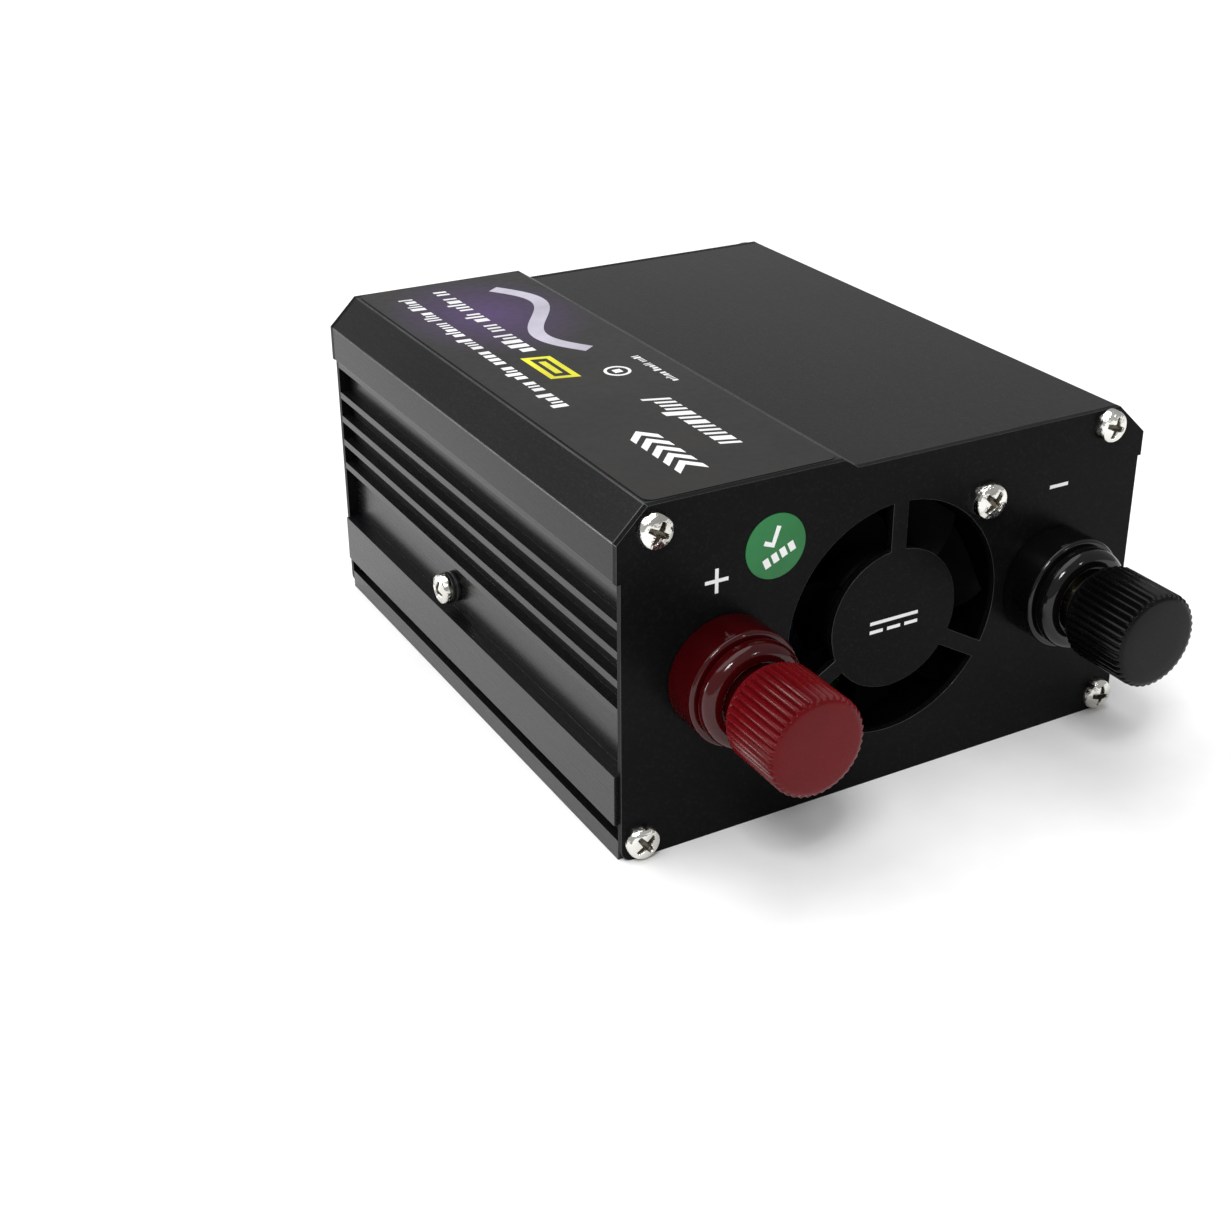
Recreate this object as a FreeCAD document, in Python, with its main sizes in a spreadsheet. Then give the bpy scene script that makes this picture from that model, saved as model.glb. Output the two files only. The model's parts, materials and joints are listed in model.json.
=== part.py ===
"""Small 12 V to mains power inverter in a two-piece extruded aluminium case.

Frame: +Z up, the front plate with the binding posts faces -Y, and the origin
lies on the underside, at the middle of the case's width and length.
All sizes are in millimetres and come from the spreadsheet "dims".
"""
import FreeCAD, Part
import math
import os
import re

import Sketcher
from FreeCAD import Placement, Rotation, Vector

DIMENSIONS = {
    # case outline, seen from the front
    "case_width": 94.0,
    "case_height": 55.4,
    "channel_width": 92.8,
    "left_chamfer": 4.8,
    "right_chamfer": 5.6,
    "right_chamfer_drop": 5.2,
    "strip_edge": -10.2,
    "strip_slope": 2.3,
    "strip_rise": 1.5,
    "skirt_bottom": 44.7,
    "parting_gap": 0.3,
    "shell_length": 102.0,
    "plate_thickness": 1.0,
    "plate_corner": 2.0,
    "wall": 2.0,
    # side walls of the lower channel
    "floor_thickness": 2.6,
    "groove_depth": 1.85,
    "flange_thickness": 1.2,
    "tongue_height": 3.0,
    "tongue_offset": 1.1,
    "tongue_clearance": 0.1,
    "first_fin_top": 38.6,
    "fin_pitch": 4.5,
    "fin_thickness": 1.2,
    "rail_top": 14.2,
    "rail_bottom": 6.0,
    "lip_top": 3.2,
    "slot_depth": 1.6,
    "boss_top": 5.9,
    "boss_width": 2.0,
    "boss_slope": 1.0,
    "overcut": 1.0,
    # screws
    "screw_radius": 1.5,
    "screw_clearance": 0.1,
    "pilot_radius": 1.25,
    "head_radius": 2.7,
    "head_height": 1.9,
    "head_dome": 1.0,
    "cross_length": 3.4,
    "cross_width": 0.8,
    "cross_depth": 1.2,
    "corner_screw_length": 10.0,
    "top_boss_radius": 2.7,
    "top_left_screw_side": 41.3,
    "top_left_screw_up": 51.8,
    "top_right_screw_side": 39.4,
    "top_right_screw_up": 51.2,
    "low_screw_side": 43.2,
    "low_screw_up": 3.0,
    "side_screw_along": 8.0,
    "side_screw_up": 18.2,
    "bush_radius": 2.6,
    "bush_length": 1.5,
    # cooling fan
    "fan_side": 0.2,
    "fan_up": 27.8,
    "fan_width": 40.0,
    "fan_depth": 10.0,
    "fan_duct_radius": 18.8,
    "fan_hole_offset": 16.0,
    "grille_radius": 19.0,
    "grille_disc_radius": 11.3,
    "grille_spoke": 2.7,
    "hub_radius": 11.0,
    "hub_gap": 0.8,
    "hub_length": 6.0,
    "shaft_end_gap": 0.5,
    "blade_radius": 18.2,
    "blade_root": 2.0,
    "blade_thickness": 0.9,
    "shaft_radius": 1.5,
    "strut_width": 2.4,
    "strut_depth": 2.4,
    "strut_bite": 0.2,
    # binding posts
    "post_side": 30.0,
    "post_up": 27.2,
    "post_hole_radius": 5.0,
    "base_radius": 9.0,
    "base_length": 6.4,
    "base_round": 0.6,
    "collar_radius": 8.3,
    "collar_length": 3.2,
    "collar_round": 1.4,
    "stud_radius": 3.0,
    "stud_length": 21.0,
    "stud_inside": 12.0,
    "knob_start": 11.8,
    "knob_radius": 7.6,
    "knob_length": 12.6,
    "flute_radius": 0.42,
    "flute_count": 40,
    "insert_radius": 4.6,
    "insert_length": 10.8,
    "thread_clearance": 0.05,
    "clamp_washer_radius": 5.6,
    "clamp_washer_thickness": 1.0,
    "washer_gap": 0.05,
    "insulator_radius": 7.0,
    "insulator_thickness": 2.0,
    "lug_radius": 6.0,
    "lug_thickness": 1.0,
    "lug_barrel_drop": 7.0,
    "lug_barrel_length": 4.0,
    "lug_barrel_radius": 2.6,
    "lug_end_wall": 1.0,
    "nut_flats": 10.0,
    "nut_length": 4.5,
    "supply_wire_radius": 1.8,
    "supply_wire_bend": 4.2,
    "supply_wire_up": 12.0,
    # circuit board and what stands on it
    "board_width": 78.0,
    "board_front": -37.0,
    "board_rear": 49.0,
    "board_bottom": 8.0,
    "board_thickness": 1.6,
    "standoff_radius": 2.8,
    "standoff_side": 34.5,
    "standoff_reach": 29.0,
    "standoff_middle": 6.0,
    "board_screw_bite": 4.0,
    "terminal_block": 8.0,
    "terminal_height": 6.4,
    "terminal_front": -34.0,
    "core_side": -14.0,
    "core_width": 34.0,
    "core_depth": 11.0,
    "core_height": 29.0,
    "core_leg": 10.0,
    "core_yoke": 5.0,
    "winding_reach": 7.0,
    "capacitor_side": -16.0,
    "capacitor_along": -26.0,
    "capacitor_radius": 5.0,
    "capacitor_height": 22.0,
    "capacitor_pitch": 12.0,
    "bulk_side": 20.0,
    "bulk_along": 16.0,
    "bulk_radius": 9.0,
    "bulk_height": 32.0,
    "choke_along": -8.0,
    "choke_radius": 7.6,
    "choke_section": 3.6,
    "fuse_side": 13.0,
    "fuse_front": -31.0,
    "fuse_pitch": 7.0,
    "fuse_lift": 3.0,
    "fuse_blade_shift": 5.0,
    "fuse_blade_width": 5.0,
    "fuse_blade_thickness": 0.7,
    "fuse_width": 16.0,
    "fuse_height": 11.0,
    "fuse_thickness": 4.0,
    "chip_side": -16.0,
    "chip_front": 22.0,
    "chip_pitch": 10.0,
    "chip_length": 20.0,
    "chip_width": 7.0,
    "chip_height": 3.6,
    # power transistors clamped to the side walls
    "pad_thickness": 0.4,
    "pad_length": 58.0,
    "pad_low": 12.0,
    "pad_high": 30.0,
    "transistor_width": 10.0,
    "transistor_depth": 4.5,
    "transistor_low": 13.6,
    "transistor_height": 9.2,
    "tab_depth": 1.3,
    "tab_height": 6.4,
    "leg_width": 0.8,
    "leg_pitch": 2.54,
    "leg_inset": 1.0,
    "transistor_pitch": 15.0,
    "bar_thickness": 2.0,
    "bar_height": 6.0,
    # mains outlet on the rear plate
    "outlet_side": 18.0,
    "outlet_up": 28.0,
    "outlet_width": 30.0,
    "outlet_depth": 14.0,
    "outlet_flange": 2.5,
    "outlet_flange_thickness": 2.2,
    "blade_spacing": 12.7,
    "blade_slot_width": 2.2,
    "blade_slot_tall": 8.2,
    "blade_slot_short": 6.8,
    "blade_rise": 4.0,
    "earth_drop": 8.0,
    "earth_radius": 2.6,
    "slot_reach": 12.0,
    "contact_thickness": 0.5,
    "contact_height": 4.0,
    "contact_foot": 1.7,
    "contact_tail": 4.0,
    "leaf_length": 9.6,
    "leaf_height": 5.0,
    "outlet_wire_radius": 1.1,
    "outlet_wire_bend": 3.6,
    "outlet_wire_start": 28.0,
    # rocker switch on the rear plate
    "switch_side": -26.0,
    "switch_up": 36.0,
    "switch_width": 13.0,
    "switch_tall": 19.4,
    "switch_depth": 13.0,
    "switch_flange": 1.0,
    "switch_flange_thickness": 1.6,
    "rocker_hole_width": 10.6,
    "rocker_hole_tall": 17.2,
    "rocker_hole_depth": 7.0,
    "rocker_width": 9.8,
    "rocker_reach": 7.4,
    "rocker_crown": 4.9,
    "rocker_valley": 3.9,
    "rocker_root": 2.6,
    "rocker_flank": 4.1,
    "rocker_keel": 2.6,
    "rocker_tilt": 11.0,
    "pivot_depth": 1.8,
    "pivot_radius": 1.0,
    "pivot_end_wall": 0.4,
    "pivot_end_gap": 0.2,
    "tab_reach": 6.0,
    "tab_width": 4.8,
    "tab_thickness": 0.8,
    "tab_low": -5.0,
    "tab_high": 3.0,
    # USB socket and indicator on the rear plate
    "usb_side": -26.0,
    "usb_width": 13.2,
    "usb_tall": 5.7,
    "usb_depth": 14.0,
    "usb_wall": 0.35,
    "usb_proud": 0.3,
    "usb_margin": 0.4,
    "usb_tongue_width": 11.0,
    "usb_tongue_thickness": 1.8,
    "usb_tongue_length": 9.5,
    "usb_tongue_drop": 0.6,
    "usb_foot_depth": 2.0,
    "led_side": -8.5,
    "led_up": 39.0,
    "led_radius": 2.5,
    "led_length": 7.0,
    # stickers
    "label_left": -41.7,
    "label_right": -10.6,
    "label_front_margin": 1.2,
    "label_rear_margin": 0.8,
    "label_thickness": 0.2,
    "sticker_side": -21.6,
    "sticker_up": 44.8,
    "sticker_radius": 5.0,
    "sticker_thickness": 0.15,
}
FIN_COUNT = 4
TRANSISTORS_PER_SIDE = 4
FAN_BLADES = 7
BLADE_PITCH_ANGLE = 38.0

doc = FreeCAD.newDocument("power_inverter")
sheet = doc.addObject("Spreadsheet::Sheet", "dims")
nodes = []

TO_RIGHT = Rotation(Vector(0, 1, 0), 90)
TO_LEFT = Rotation(Vector(0, 1, 0), -90)
TO_REAR = Rotation(Vector(1, 0, 0), -90)
TO_FRONT = Rotation(Vector(1, 0, 0), 90)
UPWARD = Rotation()


# ---------------------------------------------------------------- helpers

def fill_sheet():
    """Put every driving dimension into the spreadsheet under its own name."""
    for row, (name, size) in enumerate(DIMENSIONS.items(), start=1):
        sheet.set(f"A{row}", name)
        sheet.set(f"B{row}", str(size))
        sheet.setAlias(f"B{row}", name)
    doc.recompute()


def cells(expression):
    """Turn dimension names into references to the sheet's cells."""
    return re.sub(r"[a-z]\w*", lambda word: "dims." + word.group(0), expression)


def value(expression):
    """The present size of an expression, in millimetres."""
    return float(sheet.evalExpression(cells(expression)))


def bind(thing, prop, expression):
    thing.setExpression(prop, cells(expression))


def place(thing, x, y, z, turn=UPWARD):
    """Set and bind the position of an object's own origin."""
    thing.Placement = Placement(Vector(value(x), value(y), value(z)), turn)
    for axis, expression in zip("xyz", (x, y, z)):
        bind(thing, f"Placement.Base.{axis}", expression)
    return thing


def node(thing, label):
    """Register a finished sub-part under the name of its file."""
    thing.Label = label
    nodes.append(thing)
    return thing


def block(name, low, high):
    """Box between two corners."""
    box = doc.addObject("Part::Box", name)
    for side, start, end in zip(("Length", "Width", "Height"), low, high):
        bind(box, side, f"({end}) - ({start})")
    return place(box, *low)


def centred_block(name, x, y, z, width, depth, height):
    """Box round a centre point."""
    low = [f"({mid}) - ({size})/2" for mid, size in ((x, width), (y, depth), (z, height))]
    high = [f"({mid}) + ({size})/2" for mid, size in ((x, width), (y, depth), (z, height))]
    return block(name, low, high)


def rod(name, x, y, z, radius, length, turn):
    """Cylinder that starts at a point and runs the way it is turned."""
    cylinder = doc.addObject("Part::Cylinder", name)
    bind(cylinder, "Radius", radius)
    bind(cylinder, "Height", length)
    return place(cylinder, x, y, z, turn)


def fuse(name, parts):
    union = doc.addObject("Part::MultiFuse", name)
    union.Shapes = parts
    return union


def cut(name, base, tools):
    """Base minus one or more tools."""
    result = doc.addObject("Part::Cut", name)
    result.Base = base
    result.Tool = tools[0] if len(tools) == 1 else fuse(name + "_tools", tools)
    return result


def group(name, parts):
    """Several equal solids that share one node."""
    compound = doc.addObject("Part::Compound", name)
    compound.Links = parts
    return compound


def copy_at(name, original, x, y, z, turn=UPWARD):
    link = doc.addObject("App::Link", name)
    link.LinkedObject = original
    return place(link, x, y, z, turn)


def sketch_on(body, name, plane, outline):
    """Closed outline on one of the body's origin planes, every corner bound to the sheet."""
    sketch = body.newObject("Sketcher::SketchObject", name)
    planes = {feature.Role: feature for feature in body.Origin.OriginFeatures}
    sketch.AttachmentSupport = [(planes[plane], "")]
    sketch.MapMode = "FlatFace"
    corners = [Vector(value(across), value(up), 0) for across, up in outline]
    count = len(corners)
    lines = [Part.LineSegment(corners[i], corners[(i + 1) % count]) for i in range(count)]
    sketch.addGeometry(lines, False)
    for i in range(count):
        sketch.addConstraint(Sketcher.Constraint("Coincident", i, 2, (i + 1) % count, 1))
    for i, (across, up) in enumerate(outline):
        for kind, size, expression in (("X", corners[i].x, across), ("Y", corners[i].y, up)):
            index = sketch.addConstraint(Sketcher.Constraint("Distance" + kind, -1, 1, i, 1, size))
            sketch.setExpression(f"Constraints[{index}]", cells(expression))
    return sketch


def new_body(name):
    return doc.addObject("PartDesign::Body", name)


def pad(body, name, sketch, length):
    """Pad a sketch to both sides of its plane."""
    feature = body.newObject("PartDesign::Pad", name)
    feature.Profile = sketch
    feature.SideType = "Symmetric"
    bind(feature, "Length", length)
    return feature


def revolve(body, name, sketch):
    """Turn a sketch round its own vertical axis."""
    feature = body.newObject("PartDesign::Revolution", name)
    feature.Profile = sketch
    feature.ReferenceAxis = (sketch, ["V_Axis"])
    feature.Angle = 360
    return feature


def round_edges(body, name, base, wanted, radius):
    """Fillet the edges of the base feature that a test picks."""
    doc.recompute()
    edges = [f"Edge{i}" for i, edge in enumerate(base.Shape.Edges, start=1) if wanted(edge)]
    fillet = body.newObject("PartDesign::Fillet", name)
    fillet.Base = (base, edges)
    bind(fillet, "Radius", radius)
    return fillet


def ring_edge_at(y, radius):
    """Test for a full circle round the Y axis at a height and radius."""
    def wanted(edge):
        curve = edge.Curve
        if not isinstance(curve, Part.Circle):
            return False
        return abs(curve.Center.y - y) < 1e-3 and abs(curve.Radius - radius) < 1e-3
    return wanted


def bent_wire(name, corners, bend, radius):
    """Round wire along straight runs joined by tangent arcs."""
    points = [Vector(*(value(size) for size in corner)) for corner in corners]
    arc_radius = value(bend)
    edges = []
    start = points[0]
    for before, corner, after in zip(points, points[1:], points[2:]):
        back = (before - corner).normalize()
        ahead = (after - corner).normalize()
        half_turn = (math.pi - back.getAngle(ahead)) / 2
        reach = arc_radius * math.tan(half_turn)
        enter = corner + back * reach
        leave = corner + ahead * reach
        inward = (back + ahead).normalize()
        middle = corner + inward * (arc_radius / math.cos(half_turn) - arc_radius)
        edges.append(Part.LineSegment(start, enter).toShape())
        edges.append(Part.Arc(enter, middle, leave).toShape())
        start = leave
    edges.append(Part.LineSegment(start, points[-1]).toShape())
    path = Part.Wire(edges)
    section = Part.Wire([Part.makeCircle(value(radius), points[0], points[1] - points[0])])
    tube = path.makePipeShell([section], True, False)
    expected = path.Length * math.pi * value(radius) ** 2
    print(f"{name}: bend radius {arc_radius:.1f}, volume {tube.Volume:.0f} of {expected:.0f}")
    wire = doc.addObject("Part::Feature", name)
    wire.Shape = tube
    return wire


# ---------------------------------------------------------------- case

REAR_FACE = "shell_length/2 + plate_thickness"
FRONT_FACE = "-(shell_length/2 + plate_thickness)"
SHELL_FRONT = "-shell_length/2"
SHELL_REAR = "shell_length/2"
LOW_TOP = "case_height - strip_rise"
INNER_SIDE = "channel_width/2 - groove_depth - wall"
BOARD_TOP = "board_bottom + board_thickness"


def mirrored(outline):
    """The same outline on the other side, in the opposite order."""
    return [(f"-({across})", up) for across, up in reversed(outline)]


def roof_outline():
    """Outside of the case above the skirt's lower edge, from left to right."""
    return [
        ("-case_width/2", "skirt_bottom"),
        ("-case_width/2", "case_height - left_chamfer"),
        ("-case_width/2 + left_chamfer", "case_height"),
        ("strip_edge", "case_height"),
        ("strip_edge + strip_slope", LOW_TOP),
        ("case_width/2 - right_chamfer", LOW_TOP),
        ("case_width/2", f"{LOW_TOP} - right_chamfer_drop"),
        ("case_width/2", "skirt_bottom"),
    ]


def ceiling_outline():
    """Inside of the cover, one wall thickness in, from right to left."""
    inset = f"wall*{math.tan(math.radians(22.5)):.3f}"
    return [
        ("case_width/2 - wall", "skirt_bottom"),
        ("case_width/2 - wall", f"{LOW_TOP} - right_chamfer_drop - {inset}"),
        (f"case_width/2 - right_chamfer - {inset}", f"{LOW_TOP} - wall"),
        (f"strip_edge + strip_slope - {inset}", f"{LOW_TOP} - wall"),
        (f"strip_edge - {inset}", "case_height - wall"),
        (f"-case_width/2 + left_chamfer + {inset}", "case_height - wall"),
        ("-case_width/2 + wall", f"case_height - left_chamfer - {inset}"),
        ("-case_width/2 + wall", "skirt_bottom"),
    ]


def corner_screw_places():
    """Across and up of the four screws that hold an end plate."""
    return [
        ("-top_left_screw_side", "top_left_screw_up"),
        ("top_right_screw_side", "top_right_screw_up"),
        ("-low_screw_side", "low_screw_up"),
        ("low_screw_side", "low_screw_up"),
    ]


def pilot_holes(name, places):
    """Screw holes that run the whole length of an extrusion."""
    return [
        rod(f"{name}_{i}", across, SHELL_FRONT, up, "pilot_radius", "shell_length", TO_REAR)
        for i, (across, up) in enumerate(places)
    ]


def make_top_cover():
    body = new_body("cover_profile")
    profile = sketch_on(body, "cover_section", "XZ_Plane", roof_outline() + ceiling_outline())
    pad(body, "cover_pad", profile, "shell_length")
    places = corner_screw_places()[:2]
    bosses = [
        rod(f"cover_boss_{i}", across, SHELL_FRONT, up, "top_boss_radius", "shell_length", TO_REAR)
        for i, (across, up) in enumerate(places)
    ]
    shell = fuse("cover_shell", [body] + bosses)
    node(cut("cover", shell, pilot_holes("cover_pilot", places)), "top_cover")


def channel_side():
    """Outside of the right wall from its tongue down to the floor."""
    tip = "channel_width/2"
    root = "channel_width/2 - groove_depth"
    shoulder = "skirt_bottom - parting_gap"
    tongue = "case_width/2 - wall - tongue_clearance"
    outline = [
        (tongue, f"{shoulder} + tongue_height"),
        (tongue, shoulder),
        (tip, shoulder),
        (tip, f"{shoulder} - flange_thickness"),
        (root, f"{shoulder} - flange_thickness"),
    ]
    for fin in range(FIN_COUNT):
        top = f"first_fin_top - {fin}*fin_pitch"
        outline += [
            (root, top),
            (tip, top),
            (tip, f"{top} - fin_thickness"),
            (root, f"{top} - fin_thickness"),
        ]
    outline += [
        (root, "rail_top"),
        ("case_width/2", "rail_top"),
        ("case_width/2", "rail_bottom"),
        (f"{tip} - slot_depth", "rail_bottom"),
        (f"{tip} - slot_depth", "lip_top"),
        (tip, "lip_top"),
        (tip, "0"),
    ]
    return outline


def channel_inside():
    """Inside of the right wall from the floor up to its tongue."""
    shoulder = "skirt_bottom - parting_gap"
    return [
        (f"{INNER_SIDE} - boss_width", "floor_thickness"),
        (f"{INNER_SIDE} - boss_width", "boss_top - boss_slope"),
        (INNER_SIDE, "boss_top + boss_slope"),
        (INNER_SIDE, f"{shoulder} - tongue_offset"),
        (f"{INNER_SIDE} + tongue_offset", shoulder),
        (f"{INNER_SIDE} + tongue_offset", f"{shoulder} + tongue_height"),
    ]


def side_screw_hole(name, turn, side):
    """Clearance hole for the screw through a side wall."""
    start = f"{side}*({INNER_SIDE})"
    return rod(name, start, "side_screw_along", "side_screw_up", "screw_radius + screw_clearance",
               "wall", turn)


def make_lower_channel():
    body = new_body("channel_profile")
    right = channel_side()
    inside = channel_inside()
    outline = right + mirrored(right) + mirrored(inside) + inside
    profile = sketch_on(body, "channel_section", "XZ_Plane", outline)
    pad(body, "channel_pad", profile, "shell_length")
    holes = pilot_holes("channel_pilot", corner_screw_places()[2:])
    holes.append(side_screw_hole("channel_right_hole", TO_RIGHT, "1"))
    holes.append(side_screw_hole("channel_left_hole", TO_LEFT, "-1"))
    node(cut("channel", body, holes), "lower_channel")


def plate_blank(name, face):
    """End plate with the case's outline, its bottom corners rounded."""
    body = new_body(name)
    outline = roof_outline() + [
        ("channel_width/2", "skirt_bottom"),
        ("channel_width/2", "0"),
        ("-channel_width/2", "0"),
        ("-channel_width/2", "skirt_bottom"),
    ]
    profile = sketch_on(body, name + "_section", "XZ_Plane", outline)
    plate = pad(body, name + "_pad", profile, "plate_thickness")
    half_width = value("channel_width/2")

    def bottom_corner(edge):
        middle = edge.CenterOfMass
        return abs(middle.z) < 1e-6 and abs(abs(middle.x) - half_width) < 1e-6

    round_edges(body, name + "_corners", plate, bottom_corner, "plate_corner")
    return place(body, "0", face, "0")


def plate_screw_holes(name, inner_face):
    return [
        rod(f"{name}_{i}", across, inner_face, up, "screw_radius + screw_clearance",
            "plate_thickness", TO_REAR)
        for i, (across, up) in enumerate(corner_screw_places())
    ]


def fan_screw_places():
    """The fan hangs on two screws, on one diagonal."""
    return [
        ("fan_side + fan_hole_offset", "fan_up + fan_hole_offset"),
        ("fan_side - fan_hole_offset", "fan_up - fan_hole_offset"),
    ]


def grille_openings():
    """Ring between the centre disc and the rim, left whole where three spokes cross it."""
    outer = rod("grille_rim", "fan_side", FRONT_FACE, "fan_up", "grille_radius", "plate_thickness", TO_REAR)
    disc = rod("grille_disc", "fan_side", FRONT_FACE, "fan_up", "grille_disc_radius",
               "plate_thickness", TO_REAR)
    spokes = []
    for i, angle in enumerate((90, 210, 330)):
        spoke = doc.addObject("Part::Box", f"grille_spoke_{i}")
        bind(spoke, "Length", "grille_radius + overcut")
        bind(spoke, "Width", "plate_thickness")
        bind(spoke, "Height", "grille_spoke")
        turn = Rotation(Vector(0, -1, 0), angle)
        half = value("grille_spoke/2")
        corner = turn.multVec(Vector(0, 0, -half))
        centre = Vector(value("fan_side"), value(FRONT_FACE), value("fan_up"))
        spoke.Placement = Placement(centre + corner, turn)
        spokes.append(spoke)
    return cut("grille_openings", outer, [disc] + spokes)


def make_front_plate():
    blank = plate_blank("front_blank", "-(shell_length + plate_thickness)/2")
    holes = plate_screw_holes("front_hole", FRONT_FACE)
    holes.append(grille_openings())
    for i, (across, up) in enumerate(fan_screw_places()):
        holes.append(rod(f"front_fan_hole_{i}", across, FRONT_FACE, up, "screw_radius + screw_clearance",
                         "plate_thickness", TO_REAR))
    for name, side in (("left", "-1"), ("right", "1")):
        holes.append(rod(f"front_post_hole_{name}", f"{side}*post_side", FRONT_FACE, "post_up",
                         "post_hole_radius", "plate_thickness", TO_REAR))
    node(cut("front", blank, holes), "front_plate")


def make_rear_plate():
    blank = plate_blank("rear_blank", "(shell_length + plate_thickness)/2")
    middle = "(shell_length + plate_thickness)/2"
    holes = plate_screw_holes("rear_hole", SHELL_REAR)
    holes.append(centred_block("rear_outlet_hole", "outlet_side", middle, "outlet_up",
                               "outlet_width", "plate_thickness", "outlet_width"))
    holes.append(centred_block("rear_switch_hole", "switch_side", middle, "switch_up",
                               "switch_width", "plate_thickness", "switch_tall"))
    holes.append(centred_block("rear_usb_hole", "usb_side", middle, f"{BOARD_TOP} + usb_tall/2",
                               "usb_width + usb_margin", "plate_thickness", "usb_tall + usb_margin"))
    holes.append(rod("rear_led_hole", "led_side", SHELL_REAR, "led_up", "led_radius + thread_clearance",
                     "plate_thickness", TO_REAR))
    node(cut("rear", blank, holes), "rear_plate")


# ---------------------------------------------------------------- screws

def make_screw(name, length):
    """Pan-head cross-recess screw; its head sits on the plane at 0 and points up."""
    barrel = rod(name + "_barrel", "0", "0", "0", "head_radius", "head_height", UPWARD)
    dome = doc.addObject("Part::Sphere", name + "_dome")
    dome_radius = "(head_radius*head_radius/head_dome + head_dome)/2"
    bind(dome, "Radius", dome_radius)
    place(dome, "0", "0", f"head_height - {dome_radius}")
    head = doc.addObject("Part::Common", name + "_head")
    head.Base = barrel
    head.Tool = dome
    shank = rod(name + "_shank", "0", "0", f"-({length})", "pilot_radius", length, UPWARD)
    whole = fuse(name + "_whole", [head, shank])
    recess_up = "head_height - cross_depth/2"
    bars = [
        centred_block(f"{name}_bar_{way}", "0", "0", recess_up, length, width, "cross_depth")
        for way, length, width in (
            ("across", "cross_length", "cross_width"),
            ("along", "cross_width", "cross_length"),
        )
    ]
    return cut(name, whole, bars)


def make_plate_screws():
    screw = make_screw("corner_screw", "corner_screw_length")
    for name, face, turn in (("front", FRONT_FACE, TO_FRONT), ("rear", REAR_FACE, TO_REAR)):
        copies = [
            copy_at(f"{name}_screw_{i}", screw, across, face, up, turn)
            for i, (across, up) in enumerate(corner_screw_places())
        ]
        node(group(name + "_screws", copies), name + "_corner_screws")
    fan_screw = make_screw("fan_screw", "fan_depth + plate_thickness")
    copies = [
        copy_at(f"fan_screw_{i}", fan_screw, across, FRONT_FACE, up, TO_FRONT)
        for i, (across, up) in enumerate(fan_screw_places())
    ]
    node(group("fan_screw_pair", copies), "fan_screws")


def make_side_screws():
    """One screw through each side wall pulls the clamp bar onto the transistors."""
    root = "channel_width/2 - groove_depth"
    seat = f"({root} + bush_length)"
    bar_inner = f"({INNER_SIDE} - pad_thickness - transistor_depth - bar_thickness)"
    screw = make_screw("side_screw", f"{seat} - {bar_inner}")
    screws = []
    bushes = []
    for name, side, turn in (("left", "-1", TO_LEFT), ("right", "1", TO_RIGHT)):
        screws.append(copy_at(f"{name}_screw", screw, f"{side}*{seat}", "side_screw_along",
                              "side_screw_up", turn))
        bush = rod(f"{name}_bush_outside", f"{side}*({root})", "side_screw_along", "side_screw_up",
                   "bush_radius", "bush_length", turn)
        hole = rod(f"{name}_bush_hole", f"{side}*({root})", "side_screw_along", "side_screw_up",
                   "pilot_radius", "bush_length", turn)
        bushes.append(cut(f"{name}_bush", bush, [hole]))
    node(group("side_screw_pair", screws), "side_screws")
    node(group("side_bush_pair", bushes), "side_bushes")


# ---------------------------------------------------------------- stickers

def make_stickers():
    low = ("label_left", f"{FRONT_FACE} + label_front_margin", "case_height")
    high = ("label_right", f"{REAR_FACE} - label_rear_margin", "case_height + label_thickness")
    node(block("label_sheet", low, high), "top_label")
    sticker = rod("sticker_disc", "sticker_side", FRONT_FACE, "sticker_up", "sticker_radius",
                  "sticker_thickness", TO_FRONT)
    node(sticker, "inspection_sticker")


# ---------------------------------------------------------------- cooling fan

FAN_REAR = f"{SHELL_FRONT} + fan_depth"


def make_fan_frame():
    middle = f"{SHELL_FRONT} + fan_depth/2"
    square = centred_block("fan_square", "fan_side", middle, "fan_up",
                           "fan_width", "fan_depth", "fan_width")
    duct = rod("fan_duct", "fan_side", SHELL_FRONT, "fan_up", "fan_duct_radius", "fan_depth", TO_REAR)
    holes = [duct]
    for i, (across, up) in enumerate(((1, 1), (1, -1), (-1, 1), (-1, -1))):
        holes.append(rod(f"fan_hole_{i}", f"fan_side + {across}*fan_hole_offset", SHELL_FRONT,
                         f"fan_up + {up}*fan_hole_offset", "pilot_radius", "fan_depth", TO_REAR))
    shroud = cut("fan_shroud", square, holes)
    strut_middle = f"{FAN_REAR} - strut_depth/2"
    bars = [
        centred_block("fan_strut_across", "fan_side", strut_middle, "fan_up",
                      "2*(fan_duct_radius + strut_bite)", "strut_depth", "strut_width"),
        centred_block("fan_strut_up", "fan_side", strut_middle, "fan_up",
                      "strut_width", "strut_depth", "2*(fan_duct_radius + strut_bite)"),
        rod("fan_motor_seat", "fan_side", f"{FAN_REAR} - strut_depth", "fan_up", "hub_radius",
            "strut_depth", TO_REAR),
        rod("fan_shaft", "fan_side", f"{FAN_REAR} - strut_depth - hub_gap - hub_length/2", "fan_up",
            "shaft_radius", "hub_length/2 + hub_gap", TO_REAR),
    ]
    node(fuse("fan_body", [shroud] + bars), "fan_frame")


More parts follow.
